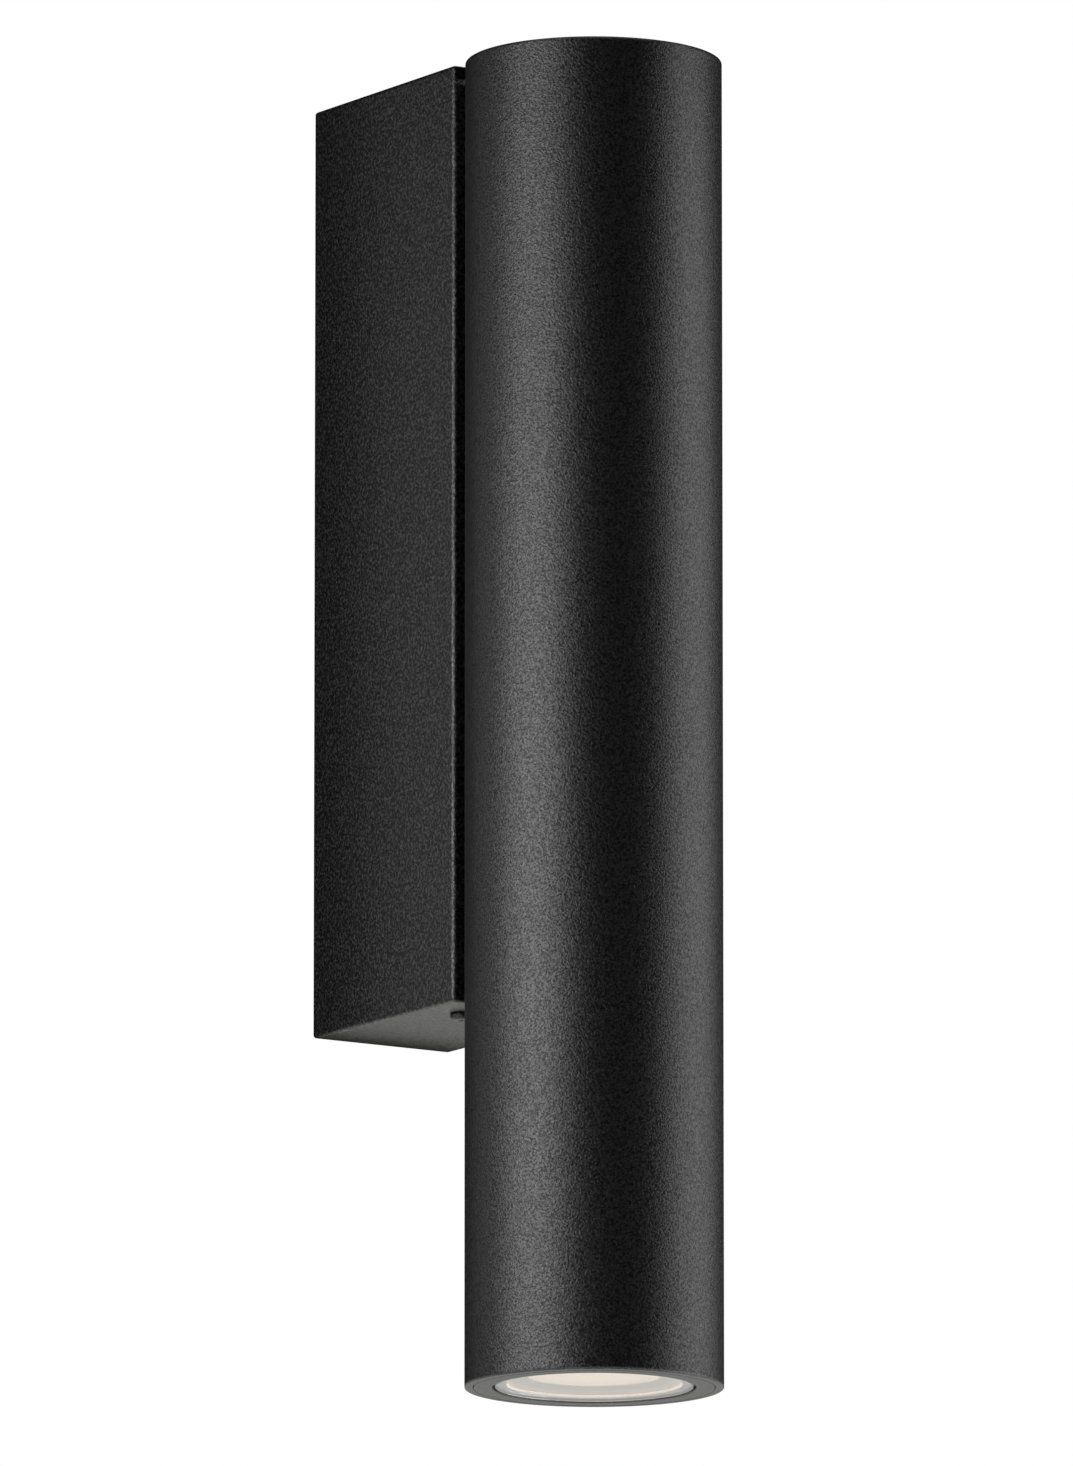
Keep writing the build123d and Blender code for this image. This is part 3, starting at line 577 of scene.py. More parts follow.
# Each has its name, colour, shade, roughness, grain_mm, relief_mm and patch_mm
FINISHES: dict[str, Finish] = {
    # Fine-texture polyester powder, sprayed and baked: near-black, dull, with a leathery grain,
    # drawn coarser than the real one so that it shows
    "coated_alloy": PowderCoat(
        "textured_powder_coat", "#090909", "#060607", (0.45, 0.36), 0.5, 0.12, 9.0, ior=1.6
    ),
    # The same powder, laid thicker on the box: the same near-black, with a coarser leathery
    # grain, also drawn coarser than the real one
    "coated_box": PowderCoat(
        "thick_textured_powder_coat", "#0a0a0a", "#070708", (0.45, 0.36), 0.7, 0.12, 9.0,
        ior=1.6, sheen=(0.3, 1.1), pit_shading=(0.5, 2.2), bite=(0.44, 0.68),
    ),
    # Aluminium as the die and the saw leave it: grey and satin, with faint lines
    "bare_alloy": Metal(
        "machined_aluminium", "#b9bbbd", "#a9abae", (0.28, 0.42), 0.4, 0.01, 12.0, Grain.DRAWN
    ),
    # Bright aluminium spun over a form: a soft mirror with faint rings
    "bright_alloy": Metal(
        "spun_bright_aluminium", "#e4e4e2", "#d9d9d8", (0.1, 0.18), 0.5, 0.004, 8.0, Grain.TURNED
    ),
    # Steel strip, rolled and then zinc plated: bluish silver with rolling lines
    "zinc_steel": Metal(
        "zinc_plated_steel", "#a9aeb3", "#94999e", (0.26, 0.4), 0.5, 0.006, 6.0, Grain.DRAWN
    ),
    # Cold-headed stainless steel: clean grey, half bright
    "stainless": Metal("stainless_steel", "#a5a5a3", "#93938f", (0.2, 0.32), 0.3, 0.004, 2.0),
    # Spring steel, hardened and blackened in oil: dark, dull and slightly blue
    "spring_steel": Metal(
        "blackened_spring_steel", "#2c2c2e", "#232428", (0.35, 0.5), 0.4, 0.005, 4.0
    ),
    # Free-cutting brass off the lathe: warm and bright
    "brass": Metal("turned_brass", "#c9a24a", "#b98f3c", (0.2, 0.32), 0.3, 0.004, 3.0),
    # Brass strip, stamped and tinned: pale and slightly clouded
    "tinned_brass": Metal("tinned_brass", "#c3c3bc", "#adada6", (0.28, 0.42), 0.35, 0.005, 2.5),
    # Moulded silicone rubber: black, with a dry bloom
    "black_rubber": Finish("silicone_rubber", "#141414", "#1b1b1b", (0.55, 0.72), 0.25, 0.01, 3.0),
    # Closed-cell foam sheet, cut with a knife: dull black, with open cells
    "foam": Finish(
        "closed_cell_foam", "#242425", "#2e2e2f", (0.85, 0.98), 0.7, 0.18, 5.0, Grain.CELLS
    ),
    # Filled silicone sheet: grey and soft
    "grey_pad": Finish("thermal_silicone", "#8d9399", "#828890", (0.6, 0.75), 0.3, 0.01, 2.0),
    # Polycarbonate from a spark-eroded mould: white, with an even matt
    "driver_case": Finish(
        "moulded_polycarbonate", "#e6e6e2", "#dcdcd7", (0.4, 0.52), 0.25, 0.012, 10.0, ior=1.58
    ),
    # Natural nylon: milky, slightly warm and waxy
    "terminal_nylon": Finish(
        "moulded_nylon", "#dcd8c8", "#cfcab8", (0.32, 0.44), 0.3, 0.008, 4.0, ior=1.53
    ),
    # White polyester resin, moulded: clean and half matt, with painted lamp light: a warm emitted
    # glow on its face and a painted highlight on its lip
    "white_plastic": PaintedLampLightPlastic(
        "white_resin_painted_lamp_light", "#dedddb", "#d5d3d0", (0.26, 0.36), 0.3, 0.004, 6.0,
        glow="#ffdcc0", painted_face_light=0.14, painted_lip_highlight=1.05,
    ),
    # Opal acrylic lit from behind: an even warm white that falls off a little towards its rim
    "opal_plastic": Glowing(
        "lit_opal_acrylic", "#f2ece0", "#ece5d8", (0.3, 0.4), 0.5, 0.003, 8.0, ior=1.49,
        glow="#ffe8d4", rim_glow="#ffe0c8", strength=0.88,
    ),
    # Sintered alumina: chalk white, faintly grainy
    "led_ceramic": Finish(
        "alumina_ceramic", "#ededea", "#e2e2de", (0.45, 0.6), 0.15, 0.006, 2.0
    ),
    # Phosphor in clear silicone: egg yellow, wet looking, and lit
    "phosphor": Glowing(
        "phosphor_in_silicone", "#e9c233", "#e0b422", (0.15, 0.25), 0.3, 0.004, 1.5, ior=1.41,
        glow="#fff2c8", rim_glow="#ffe58a", glow_radius_mm=6.0, strength=1.5,
    ),
    # Toughened glass with ground and polished faces: clear, slightly green in depth
    "clear_glass": Clear("toughened_glass", "#fafcfb", "#f6faf8", (0.0, 0.02), 4.0, 0.0005, 20.0),
    # Extruded insulation: smooth and half glossy, with faint lines from the die
    "brown_lead": Insulation("brown_insulation", "#5a3a26", "#4e3120"),
    "blue_lead": Insulation("blue_insulation", "#2f5f9e", "#28548e"),
    "green_yellow_lead": Insulation(
        "green_yellow_insulation", "#3d8a3a", "#34792f", stripe="#e2c81f"
    ),
    # Softer insulation of thin flexible lead: the same, a little duller
    "red_lead": Insulation("red_insulation", "#a81c1c", "#961616", (0.35, 0.45)),
    "black_lead": Insulation("black_insulation", "#171717", "#1e1e1e", (0.35, 0.45)),
}
MATERIALS: dict[str, bpy.types.Material] = {
    slot: finish.material() for slot, finish in FINISHES.items()
}
SLOTS: dict[str, str] = {
    part["node"]: part["material_slot"] for part in frame["record"]["subparts"]
}
# The box is coated by itself, and its screws are coated in place, which hides them
OWN_FINISH: dict[str, str] = {"wall_box": "coated_box", "box_fixing_screws": "coated_alloy"}


def finish_of(node: str) -> str:
    """Name a CAD node's finish, which is its own one or its slot's."""
    return OWN_FINISH.get(node, SLOTS[node])


def dress_node(node: str) -> None:
    """Give a CAD node its finish.

    Args:
        node: The node's name.
    """
    finish = finish_of(node)
    for place in frame["nodes"][node].material_slots:
        place.material = MATERIALS[finish]
    LOG.info("%s: %s", node, FINISHES[finish].name)


def settle(piece: bpy.types.Object, node: str, body: str) -> None:
    """Shade a finished piece, hide the CAD node that it stands for and hang it on its body.

    Args:
        piece: The piece, with its place in its mesh.
        node: The CAD node, whose finish it takes and which it hides.
        body: The CAD body that it moves with.
    """
    if not piece.data.materials:
        piece.data.materials.append(MATERIALS[finish_of(node)])
    piece.data.shade_smooth()
    piece.data.set_sharp_from_angle(angle=SHARP_ANGLE)
    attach(piece, body)
    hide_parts(node)
    LOG.info("%s: %d faces on %s", piece.name, len(piece.data.polygons), body)


def turn_piece(name: str, section: Section, segments: int, node: str, body: str) -> None:
    """Make a finished piece by turning a section alone.

    Args:
        name: The piece's name.
        section: The section's corners, with heights above the tube's lower end.
        segments: Faces round the axis.
        node: The CAD node that it stands for.
        body: The CAD body that it moves with.
    """
    settle(link_object(name, turned_mesh(name, section, segments)), node, body)


# ---------------------------------------------------------------- screw sizes


@dataclass(frozen=True)
class ScrewSize:
    """A metric button-head screw, in metres."""

    shank: float
    head: float
    head_height: float
    key: float
    pitch: float

    def inputs(self, length: float) -> dict[str, float]:
        """Name the sizes as the screws' tree does.

        Args:
            length: The screw's length under its head.

        Returns:
            The tree's inputs.
        """
        return {
            "Shank Radius": self.shank,
            "Head Radius": self.head,
            "Head Height": self.head_height,
            "Key Width": self.key,
            "Length": length,
            "Pitch": self.pitch,
        }


M25 = ScrewSize(1.25 * MM, 2.2 * MM, 1.5 * MM, 1.5 * MM, 0.45 * MM)
M3 = ScrewSize(1.5 * MM, 2.85 * MM, 1.65 * MM, 2.0 * MM, 0.5 * MM)
M4 = ScrewSize(2.0 * MM, 3.8 * MM, 2.2 * MM, 2.5 * MM, 0.7 * MM)


# ---------------------------------------------------------------- geometry trees


class Recipe(Graph):
    """A Geometry Nodes tree with named inputs, which is run once for each piece.

    Attributes:
        given: The tree's inputs, by name.
    """

    def __init__(self, name: str, sizes: dict[str, float | int]) -> None:
        """Start the tree.

        Args:
            name: The tree's name.
            sizes: Name and default of each size; a whole number makes a whole-number input.
        """
        super().__init__(bpy.data.node_groups.new(name, "GeometryNodeTree"))
        face = self.tree.interface
        face.new_socket("Geometry", in_out="INPUT", socket_type="NodeSocketGeometry")
        for label, value in sizes.items():
            kind = "NodeSocketInt" if isinstance(value, int) else "NodeSocketFloat"
            face.new_socket(label, in_out="INPUT", socket_type=kind).default_value = value
        face.new_socket("Material", in_out="INPUT", socket_type="NodeSocketMaterial")
        face.new_socket("Geometry", in_out="OUTPUT", socket_type="NodeSocketGeometry")
        self.given = self.add("NodeGroupInput").outputs

    def aimed(self) -> Node:
        """Add the turn that points +Z along each point's aim."""
        aim = self.add("GeometryNodeInputNamedAttribute", {"Name": "aim"}, data_type="FLOAT_VECTOR")
        return self.add("FunctionNodeAlignRotationToVector", {"Vector": aim}, axis="Z")

    def moved(self, geometry: Node, way: Feeds) -> Node:
        """Move a geometry.

        Args:
            geometry: What moves.
            way: How far, for each of X, Y and Z along which it moves.

        Returns:
            The moved geometry.
        """
        offset = self.add("ShaderNodeCombineXYZ", way)
        return self.add("GeometryNodeTransform", {"Geometry": geometry, "Translation": offset})

    def ridge(self, path: Node, depth: Node | Socket) -> Node:
        """Sweep a four-sided ridge along a path.

        Args:
            path: The curve that it follows.
            depth: How far its crest stands off the path.

        Returns:
            The closed ridge.
        """
        profile = self.add("GeometryNodeCurvePrimitiveCircle", {"Resolution": 4, "Radius": depth})
        sweep = {"Curve": path, "Profile Curve": profile, "Fill Caps": True}
        return self.add("GeometryNodeCurveToMesh", sweep)

    def close(self, geometry: Node) -> None:
        """End the tree: its instances become real and get their material.

        Args:
            geometry: The last shape.
        """
        real = self.add("GeometryNodeRealizeInstances", {"Geometry": geometry})
        dress = {"Geometry": real, "Material": self.given["Material"]}
        self.add("NodeGroupOutput", {"Geometry": self.add("GeometryNodeSetMaterial", dress)})

    def grow(
        self, name: str, seed: bpy.types.Mesh, node: str, sizes: dict[str, float | int]
    ) -> bpy.types.Object:
        """Run the tree on a mesh and keep the result as a plain mesh.

        Args:
            name: The new piece's name.
            seed: The mesh that goes into the tree.
            node: The CAD node whose finish it takes.
            sizes: Values for the tree's named inputs.

        Returns:
            The new piece, with no modifier.
        """
        piece = link_object(name, seed)
        modifier = piece.modifiers.new(self.tree.name, "NODES")
        modifier.node_group = self.tree
        for item in self.tree.interface.items_tree:
            if item.in_out == "INPUT" and item.name in sizes:
                modifier[item.identifier] = sizes[item.name]
            elif item.name == "Material":
                modifier[item.identifier] = MATERIALS[finish_of(node)]
        evaluated = piece.evaluated_get(bpy.context.evaluated_depsgraph_get())
        grown = bpy.data.meshes.new_from_object(evaluated)
        piece.modifiers.clear()
        piece.data = grown
        return piece


class ScrewRecipe(Recipe):
    """Button-head screws with a hexagonal socket and a thread, one at each point, along its aim."""

    dome_rings = 14
    around = 48
    flat_share = 0.62  # of the key's width, the radius of the head's flat
    ease_share = 0.85  # of the head's radius, how far out the flat's direction is held
    shoulder_share = 0.75  # of the head's height, how far up the side's direction is held
    foot_share = 0.12  # of the head's height, where the dome starts
    key_depth_share = 0.6  # of the head's height
    thread_share = 0.6134  # of the pitch, the depth of a metric thread

    def __init__(self) -> None:
        """Draw the tree."""
        super().__init__("button_screws", M3.inputs(6 * MM))
        screw = self.add("GeometryNodeJoinGeometry", {"Geometry": [self.head(), *self.thread()]})
        seats = {"Points": self.given["Geometry"], "Instance": screw, "Rotation": self.aimed()}
        self.close(self.add("GeometryNodeInstanceOnPoints", seats))

    def head(self) -> Node:
        """Bend a grid to a domed head, and cut the key's socket in it.

        The grid's first row closes the head's top in one point, and its last row its seat.

        Returns:
            The head, with its seat at height 0.
        """
        given, step = self.given, 1 / (self.dome_rings - 3)
        shares = (
            ("Key Width", self.flat_share),
            ("Head Radius", self.ease_share),
            ("Head Height", self.shoulder_share),
            ("Head Height", self.foot_share),
            ("Key Width", 1 / math.sqrt(3)),
            ("Head Height", 2 * self.key_depth_share),
        )
        flat, ease, shoulder, foot, key_corner, key_height = (
            self.add("ShaderNodeMath", {0: given[size], 1: share}, operation="MULTIPLY")
            for size, share in shares
        )
        height, radius = given["Head Height"], given["Head Radius"]
        corners = ((flat, height), (ease, height), (radius, shoulder), (radius, foot))
        start, leave, arrive, end = (
            self.add("ShaderNodeCombineXYZ", {"X": x, "Y": y}) for x, y in corners
        )
        bend = {"Start": start, "Start Handle": leave, "End Handle": arrive, "End": end}
        dome = self.add("GeometryNodeCurvePrimitiveBezierSegment", {"Resolution": 24} | bend)
        cells = {"Vertices X": self.dome_rings, "Vertices Y": self.around + 1}
        grid = self.add("GeometryNodeMeshGrid", {"Size X": 1.0, "Size Y": 1.0} | cells)
        at = self.add("ShaderNodeSeparateXYZ", {0: self.add("GeometryNodeInputPosition")}).outputs
        rows = {"From Min": -HALF, "From Max": HALF, "To Min": -step, "To Max": 1 + step}
        row = self.add("ShaderNodeMapRange", {"Value": at["X"]} | rows)
        centred = self.add("ShaderNodeMath", {0: row, 1: HALF}, operation="SUBTRACT")
        off = self.add("ShaderNodeMath", {0: centred}, operation="ABSOLUTE")
        wide = self.add("ShaderNodeMath", {0: off, 1: HALF + step / 2}, operation="LESS_THAN")
        raised = self.add("ShaderNodeMath", {0: row, 1: 1 + step / 2}, operation="LESS_THAN")
        sample = self.add("GeometryNodeSampleCurve", {"Curves": dome, "Factor": row}, mode="FACTOR")
        drawn = self.add("ShaderNodeSeparateXYZ", {0: sample.outputs["Position"]}).outputs
        reach = self.add("ShaderNodeMath", {0: drawn["X"], 1: wide}, operation="MULTIPLY")
        level = self.add("ShaderNodeMath", {0: drawn["Y"], 1: raised}, operation="MULTIPLY")
        angle = self.add("ShaderNodeMath", {0: at["Y"], 1: FULL_TURN}, operation="MULTIPLY")
        swings = [self.add("ShaderNodeMath", {0: angle}, operation=w) for w in ("COSINE", "SINE")]
        across, along = (
            self.add("ShaderNodeMath", {0: reach, 1: swing}, operation="MULTIPLY")
            for swing in swings
        )
        bent = self.add("ShaderNodeCombineXYZ", {"X": across, "Y": along, "Z": level})
        shaped = self.add("GeometryNodeSetPosition", {"Geometry": grid, "Position": bent})
        seam = {"Geometry": shaped, "Distance": WELD_SLACK}
        welded = self.add("GeometryNodeMergeByDistance", seam)
        bar = {"Vertices": 6, "Radius": key_corner, "Depth": key_height}
        key = self.moved(self.add("GeometryNodeMeshCylinder", bar), {"Z": height})
        cut = {"Mesh 1": welded, "Mesh 2": key}
        return self.add("GeometryNodeMeshBoolean", cut, operation="DIFFERENCE", solver="EXACT")

    def thread(self) -> list[Node]:
        """Wind a ridge round a core.

        Returns:
            The core and the ridge, below height 0.
        """
        pitch, length = self.given["Pitch"], self.given["Length"]
        depth = self.add("ShaderNodeMath", {0: pitch, 1: self.thread_share}, operation="MULTIPLY")
        sunk = {0: self.given["Shank Radius"], 1: depth}
        root = self.add("ShaderNodeMath", sunk, operation="SUBTRACT")
        rod = {"Vertices": 32, "Radius": root, "Depth": length}
        core = self.add("GeometryNodeMeshCylinder", rod)
        wound = self.add("ShaderNodeMath", {0: length, 1: pitch}, operation="SUBTRACT")
        turns = self.add("ShaderNodeMath", {0: wound, 1: pitch}, operation="DIVIDE")
        spiral = {"Start Radius": root, "End Radius": root, "Height": wound, "Rotations": turns}
        helix = self.add("GeometryNodeCurveSpiral", {"Resolution": 20} | spiral)
        ridge = self.ridge(helix, depth)
        middle, inset = (
            self.add("ShaderNodeMath", {0: size, 1: -HALF}, operation="MULTIPLY")
            for size in (length, pitch)
        )
        foot = self.add("ShaderNodeMath", {0: inset, 1: wound}, operation="SUBTRACT")
        return [self.moved(core, {"Z": middle}), self.moved(ridge, {"Z": foot})]


class BoreRecipe(Recipe):
    """Round holes in a blank, one at each loose point with a bore, a reach and an aim."""

    def __init__(self) -> None:
        """Draw the tree."""
        super().__init__("bored_blank", {"Hole Segments": 48})
        bore, reach = (
            self.add("GeometryNodeInputNamedAttribute", {"Name": name}, data_type="FLOAT")
            for name in ("bore", "reach")
        )
        marked = self.add("ShaderNodeMath", {0: bore, 1: POINT_SLACK}, operation="GREATER_THAN")
        mixed = {"Geometry": self.given["Geometry"], "Selection": marked}
        parts = self.add("GeometryNodeSeparateGeometry", mixed, domain="POINT").outputs
        rod = {"Vertices": self.given["Hole Segments"], "Radius": 1.0, "Depth": 1.0}
        drill = self.add("GeometryNodeMeshCylinder", rod)
        size = self.add("ShaderNodeCombineXYZ", {"X": bore, "Y": bore, "Z": reach})
        marks = {"Points": parts["Selection"], "Rotation": self.aimed(), "Scale": size}
        drills = self.add("GeometryNodeInstanceOnPoints", marks | {"Instance": drill})
        real = self.add("GeometryNodeRealizeInstances", {"Geometry": drills})
        cut = {"Mesh 1": parts["Inverted"], "Mesh 2": real}
        self.close(
            self.add("GeometryNodeMeshBoolean", cut, operation="DIFFERENCE", solver="EXACT")
        )


class ThreadRecipe(Recipe):
    """A screw thread round an upright piece, which runs out at both ends."""

    end_share = 0.05  # of the ridge's depth, what is left of it where it runs out

    def __init__(self) -> None:
        """Draw the tree."""
        sizes = {"Root Radius": 27.4 * MM, "Depth": 0.5 * MM, "Pitch": 1.5 * MM, "Turns": 2.0}
        sizes |= {"Run Out": 0.08, "Foot": 0.0, "Centre Y": 0.0, "Turn Segments": 144}
        super().__init__("outer_thread", sizes)
        given = self.given
        root, turns = given["Root Radius"], given["Turns"]
        rise = self.add("ShaderNodeMath", {0: given["Pitch"], 1: turns}, operation="MULTIPLY")
        spiral = {"Start Radius": root, "End Radius": root, "Height": rise, "Rotations": turns}
        spiral["Resolution"] = given["Turn Segments"]
        helix = self.add("GeometryNodeCurveSpiral", spiral)
        along = self.add("GeometryNodeSplineParameter")
        left = self.add("ShaderNodeMath", {0: 1.0, 1: along}, operation="SUBTRACT")
        nearest = self.add("ShaderNodeMath", {0: along, 1: left}, operation="MINIMUM")
        ends = {"Value": nearest, "From Max": given["Run Out"], "To Min": self.end_share}
        ramp = self.add("ShaderNodeMapRange", ends)
        tapered = self.add("GeometryNodeSetCurveRadius", {"Curve": helix, "Radius": ramp})
        ridge = self.ridge(tapered, given["Depth"])
        placed = self.moved(ridge, {"Y": given["Centre Y"], "Z": given["Foot"]})
        self.close(self.add("GeometryNodeJoinGeometry", {"Geometry": [given["Geometry"], placed]}))


class BarRecipe(Recipe):
    """A row of level bars along X with rounded edges, cut to a round outline, joined to a base."""

    overrun = 1.05  # of the reach, so that the round outline cuts each bar's ends

    def __init__(self) -> None:
        """Draw the tree."""
        sizes = {"Count": 8, "Pitch": 5.6 * MM, "Thickness": 1.8 * MM, "Height": 36 * MM}
        sizes |= {"Reach": 24 * MM, "Rounding": 0.6 * MM, "Foot": 0.0, "Centre Y": 0.0}
        super().__init__("bar_row", sizes)
        given = self.given
        height, reach, pitch = given["Height"], given["Reach"], given["Pitch"]
        plate = {"Width": given["Thickness"], "Height": height}
        section = self.add("GeometryNodeCurvePrimitiveQuadrilateral", plate)
        edges = {"Curve": section, "Radius": given["Rounding"], "Count": 4}
        rounded = self.add("GeometryNodeFilletCurve", edges, mode="POLY")
        gaps = self.add("ShaderNodeMath", {0: given["Count"], 1: 1.0}, operation="SUBTRACT")
        span = self.add("ShaderNodeMath", {0: gaps, 1: pitch}, operation="MULTIPLY")
        shares = (
            (reach, -self.overrun), (reach, self.overrun),
            (span, -HALF), (height, 2.0), (height, HALF),
        )
        back, front, first, tall, middle = (
            self.add("ShaderNodeMath", {0: size, 1: share}, operation="MULTIPLY")
            for size, share in shares
        )
        start, end, begin, step = (
            self.add("ShaderNodeCombineXYZ", way)
            for way in ({"X": back}, {"X": front}, {"Y": first}, {"Y": pitch})
        )
        rail = self.add("GeometryNodeCurvePrimitiveLine", {"Start": start, "End": end})
        sweep = {"Curve": rail, "Profile Curve": rounded, "Fill Caps": True}
        bar = self.add("GeometryNodeCurveToMesh", sweep)
        places = {"Count": given["Count"], "Start Location": begin, "Offset": step}
        row = self.add("GeometryNodeMeshLine", places)
        bars = self.add("GeometryNodeInstanceOnPoints", {"Points": row, "Instance": bar})
        real = self.add("GeometryNodeRealizeInstances", {"Geometry": bars})
        drum = {"Vertices": 96, "Radius": reach, "Depth": tall}
        shared = {"Mesh 2": [real, self.add("GeometryNodeMeshCylinder", drum)]}
        trimmed = self.add(
            "GeometryNodeMeshBoolean", shared, operation="INTERSECT", solver="EXACT"
        )
        level = self.add("ShaderNodeMath", {0: given["Foot"], 1: middle}, operation="ADD")
        placed = self.moved(trimmed, {"Y": given["Centre Y"], "Z": level})
        self.close(self.add("GeometryNodeJoinGeometry", {"Geometry": [given["Geometry"], placed]}))


SCREWS = ScrewRecipe()
BORES = BoreRecipe()
THREADS = ThreadRecipe()
BARS = BarRecipe()


def add_points(mesh: bpy.types.Mesh, places: list[Vector], marks: dict[str, list]) -> None:
    """Add loose points to a mesh, with their marks as attributes.

    Args:
        mesh: The mesh, which may be empty.
        places: Where the points go.
        marks: Attribute name to a value for each new point; a value is a number or a vector.
    """
    first = len(mesh.vertices)
    mesh.vertices.add(len(places))
    for index, place in enumerate(places):
        mesh.vertices[first + index].co = place
    for label, values in marks.items():
        is_vector = isinstance(values[0], Vector)
        layer = mesh.attributes.new(label, "FLOAT_VECTOR" if is_vector else "FLOAT", "POINT")
        for index, value in enumerate(values):
            setattr(layer.data[first + index], "vector" if is_vector else "value", value)
    mesh.update()


# ---------------------------------------------------------------- screws


@dataclass(frozen=True)
class ScrewSet:
    """The screws of one CAD node.

    Attributes:
        node: The node, which they replace.
        size: Their size.
        aims: The directions that their heads point to.
        counts: How many stand in a row along X, Y and Z, for each aim.
        length: Under the head, or 0 to fill the node's box.
    """

    node: str
    size: ScrewSize
    aims: tuple[Vector, ...]
    counts: tuple[int, int, int]
    length: float = 0.0

    def build(self) -> None:
        """Put a screw at each seat, which follows from the node's box."""
        low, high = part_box(self.node)
        seats, aims = [], []
        for aim in self.aims:
            rows = []
            for axis, count in enumerate(self.counts):
                if aim[axis]:
                    end = high[axis] if aim[axis] > 0 else low[axis]
                    rows.append([end - aim[axis] * self.size.head_height])
                elif count == 1:
                    rows.append([(low[axis] + high[axis]) / 2])
                else:
                    first, last = low[axis] + self.size.head, high[axis] - self.size.head
                    rows.append([first + (last - first) * i / (count - 1) for i in range(count)])
            places = [Vector((x, y, z)) for x in rows[0] for y in rows[1] for z in rows[2]]
            seats += places
            aims += [aim] * len(places)
        along = max(range(3), key=lambda axis: abs(self.aims[0][axis]))
        length = self.length or high[along] - low[along] - self.size.head_height
        seed = bpy.data.meshes.new(self.node + "_seats")
        add_points(seed, seats, {"aim": aims})
        screws = SCREWS.grow(self.node + "_threaded", seed, self.node, self.size.inputs(length))
        settle(screws, self.node, "fixture")


# ---------------------------------------------------------------- sub-assemblies


@dataclass
class SubAssembly:
    """One sub-assembly of the light."""

    kept: tuple[str, ...] = ()  # CAD nodes whose shape is right

    def build(self) -> None:
        """Build what the CAD nodes lack."""

    def dress(self) -> None:
        """Give the kept CAD nodes their finish."""
        for name in self.kept:
            dress_node(name)


@dataclass
class WallSide(SubAssembly):
    """What stays on the wall: the foam gasket, the bracket and the cable's grommet."""

    kept: tuple[str, ...] = ("wall_gasket", "wall_bracket", "cable_grommet")


@dataclass
class WallBox(SubAssembly):
    """The box and the screws that hold it to the bracket's arms, from above and from below."""

    kept: tuple[str, ...] = ("wall_box",)
    screw_length: float = 6 * MM

    def build(self) -> None:
        """Put in the box's screws."""
        ScrewSet("box_fixing_screws", M3, (UP, -UP), (2, 1, 1), self.screw_length).build()


@dataclass
class Driver(SubAssembly):
    """The LED driver, in a moulded case that two screws hold."""

    kept: tuple[str, ...] = ("led_driver",)

    def build(self) -> None:
        """Put in the driver's screws."""
        ScrewSet("driver_screws", M3, (OUTWARD,), (1, 1, 2)).build()


@dataclass
class Terminals(SubAssembly):
    """The terminal block, its clamps and screws, and the earth point."""

    kept: tuple[str, ...] = ("terminal_block", "terminal_clamps", "earth_tag", "earth_washer")

    def build(self) -> None:
        """Put in the clamp screws, the block's screws and the earth screw."""
        ScrewSet("terminal_screws", M25, (OUTWARD,), (3, 1, 2)).build()
        ScrewSet("block_screws", M25, (OUTWARD,), (2, 1, 1)).build()
        ScrewSet("earth_screw", M4, (OUTWARD,), (1, 1, 1)).build()


@dataclass
class Leads(SubAssembly):
    """The supply leads, the earth lead and the leads to the LED, all held along their way."""

    kept: tuple[str, ...] = (
        "line_lead", "neutral_lead", "earth_lead", "positive_lead", "negative_lead"
    )


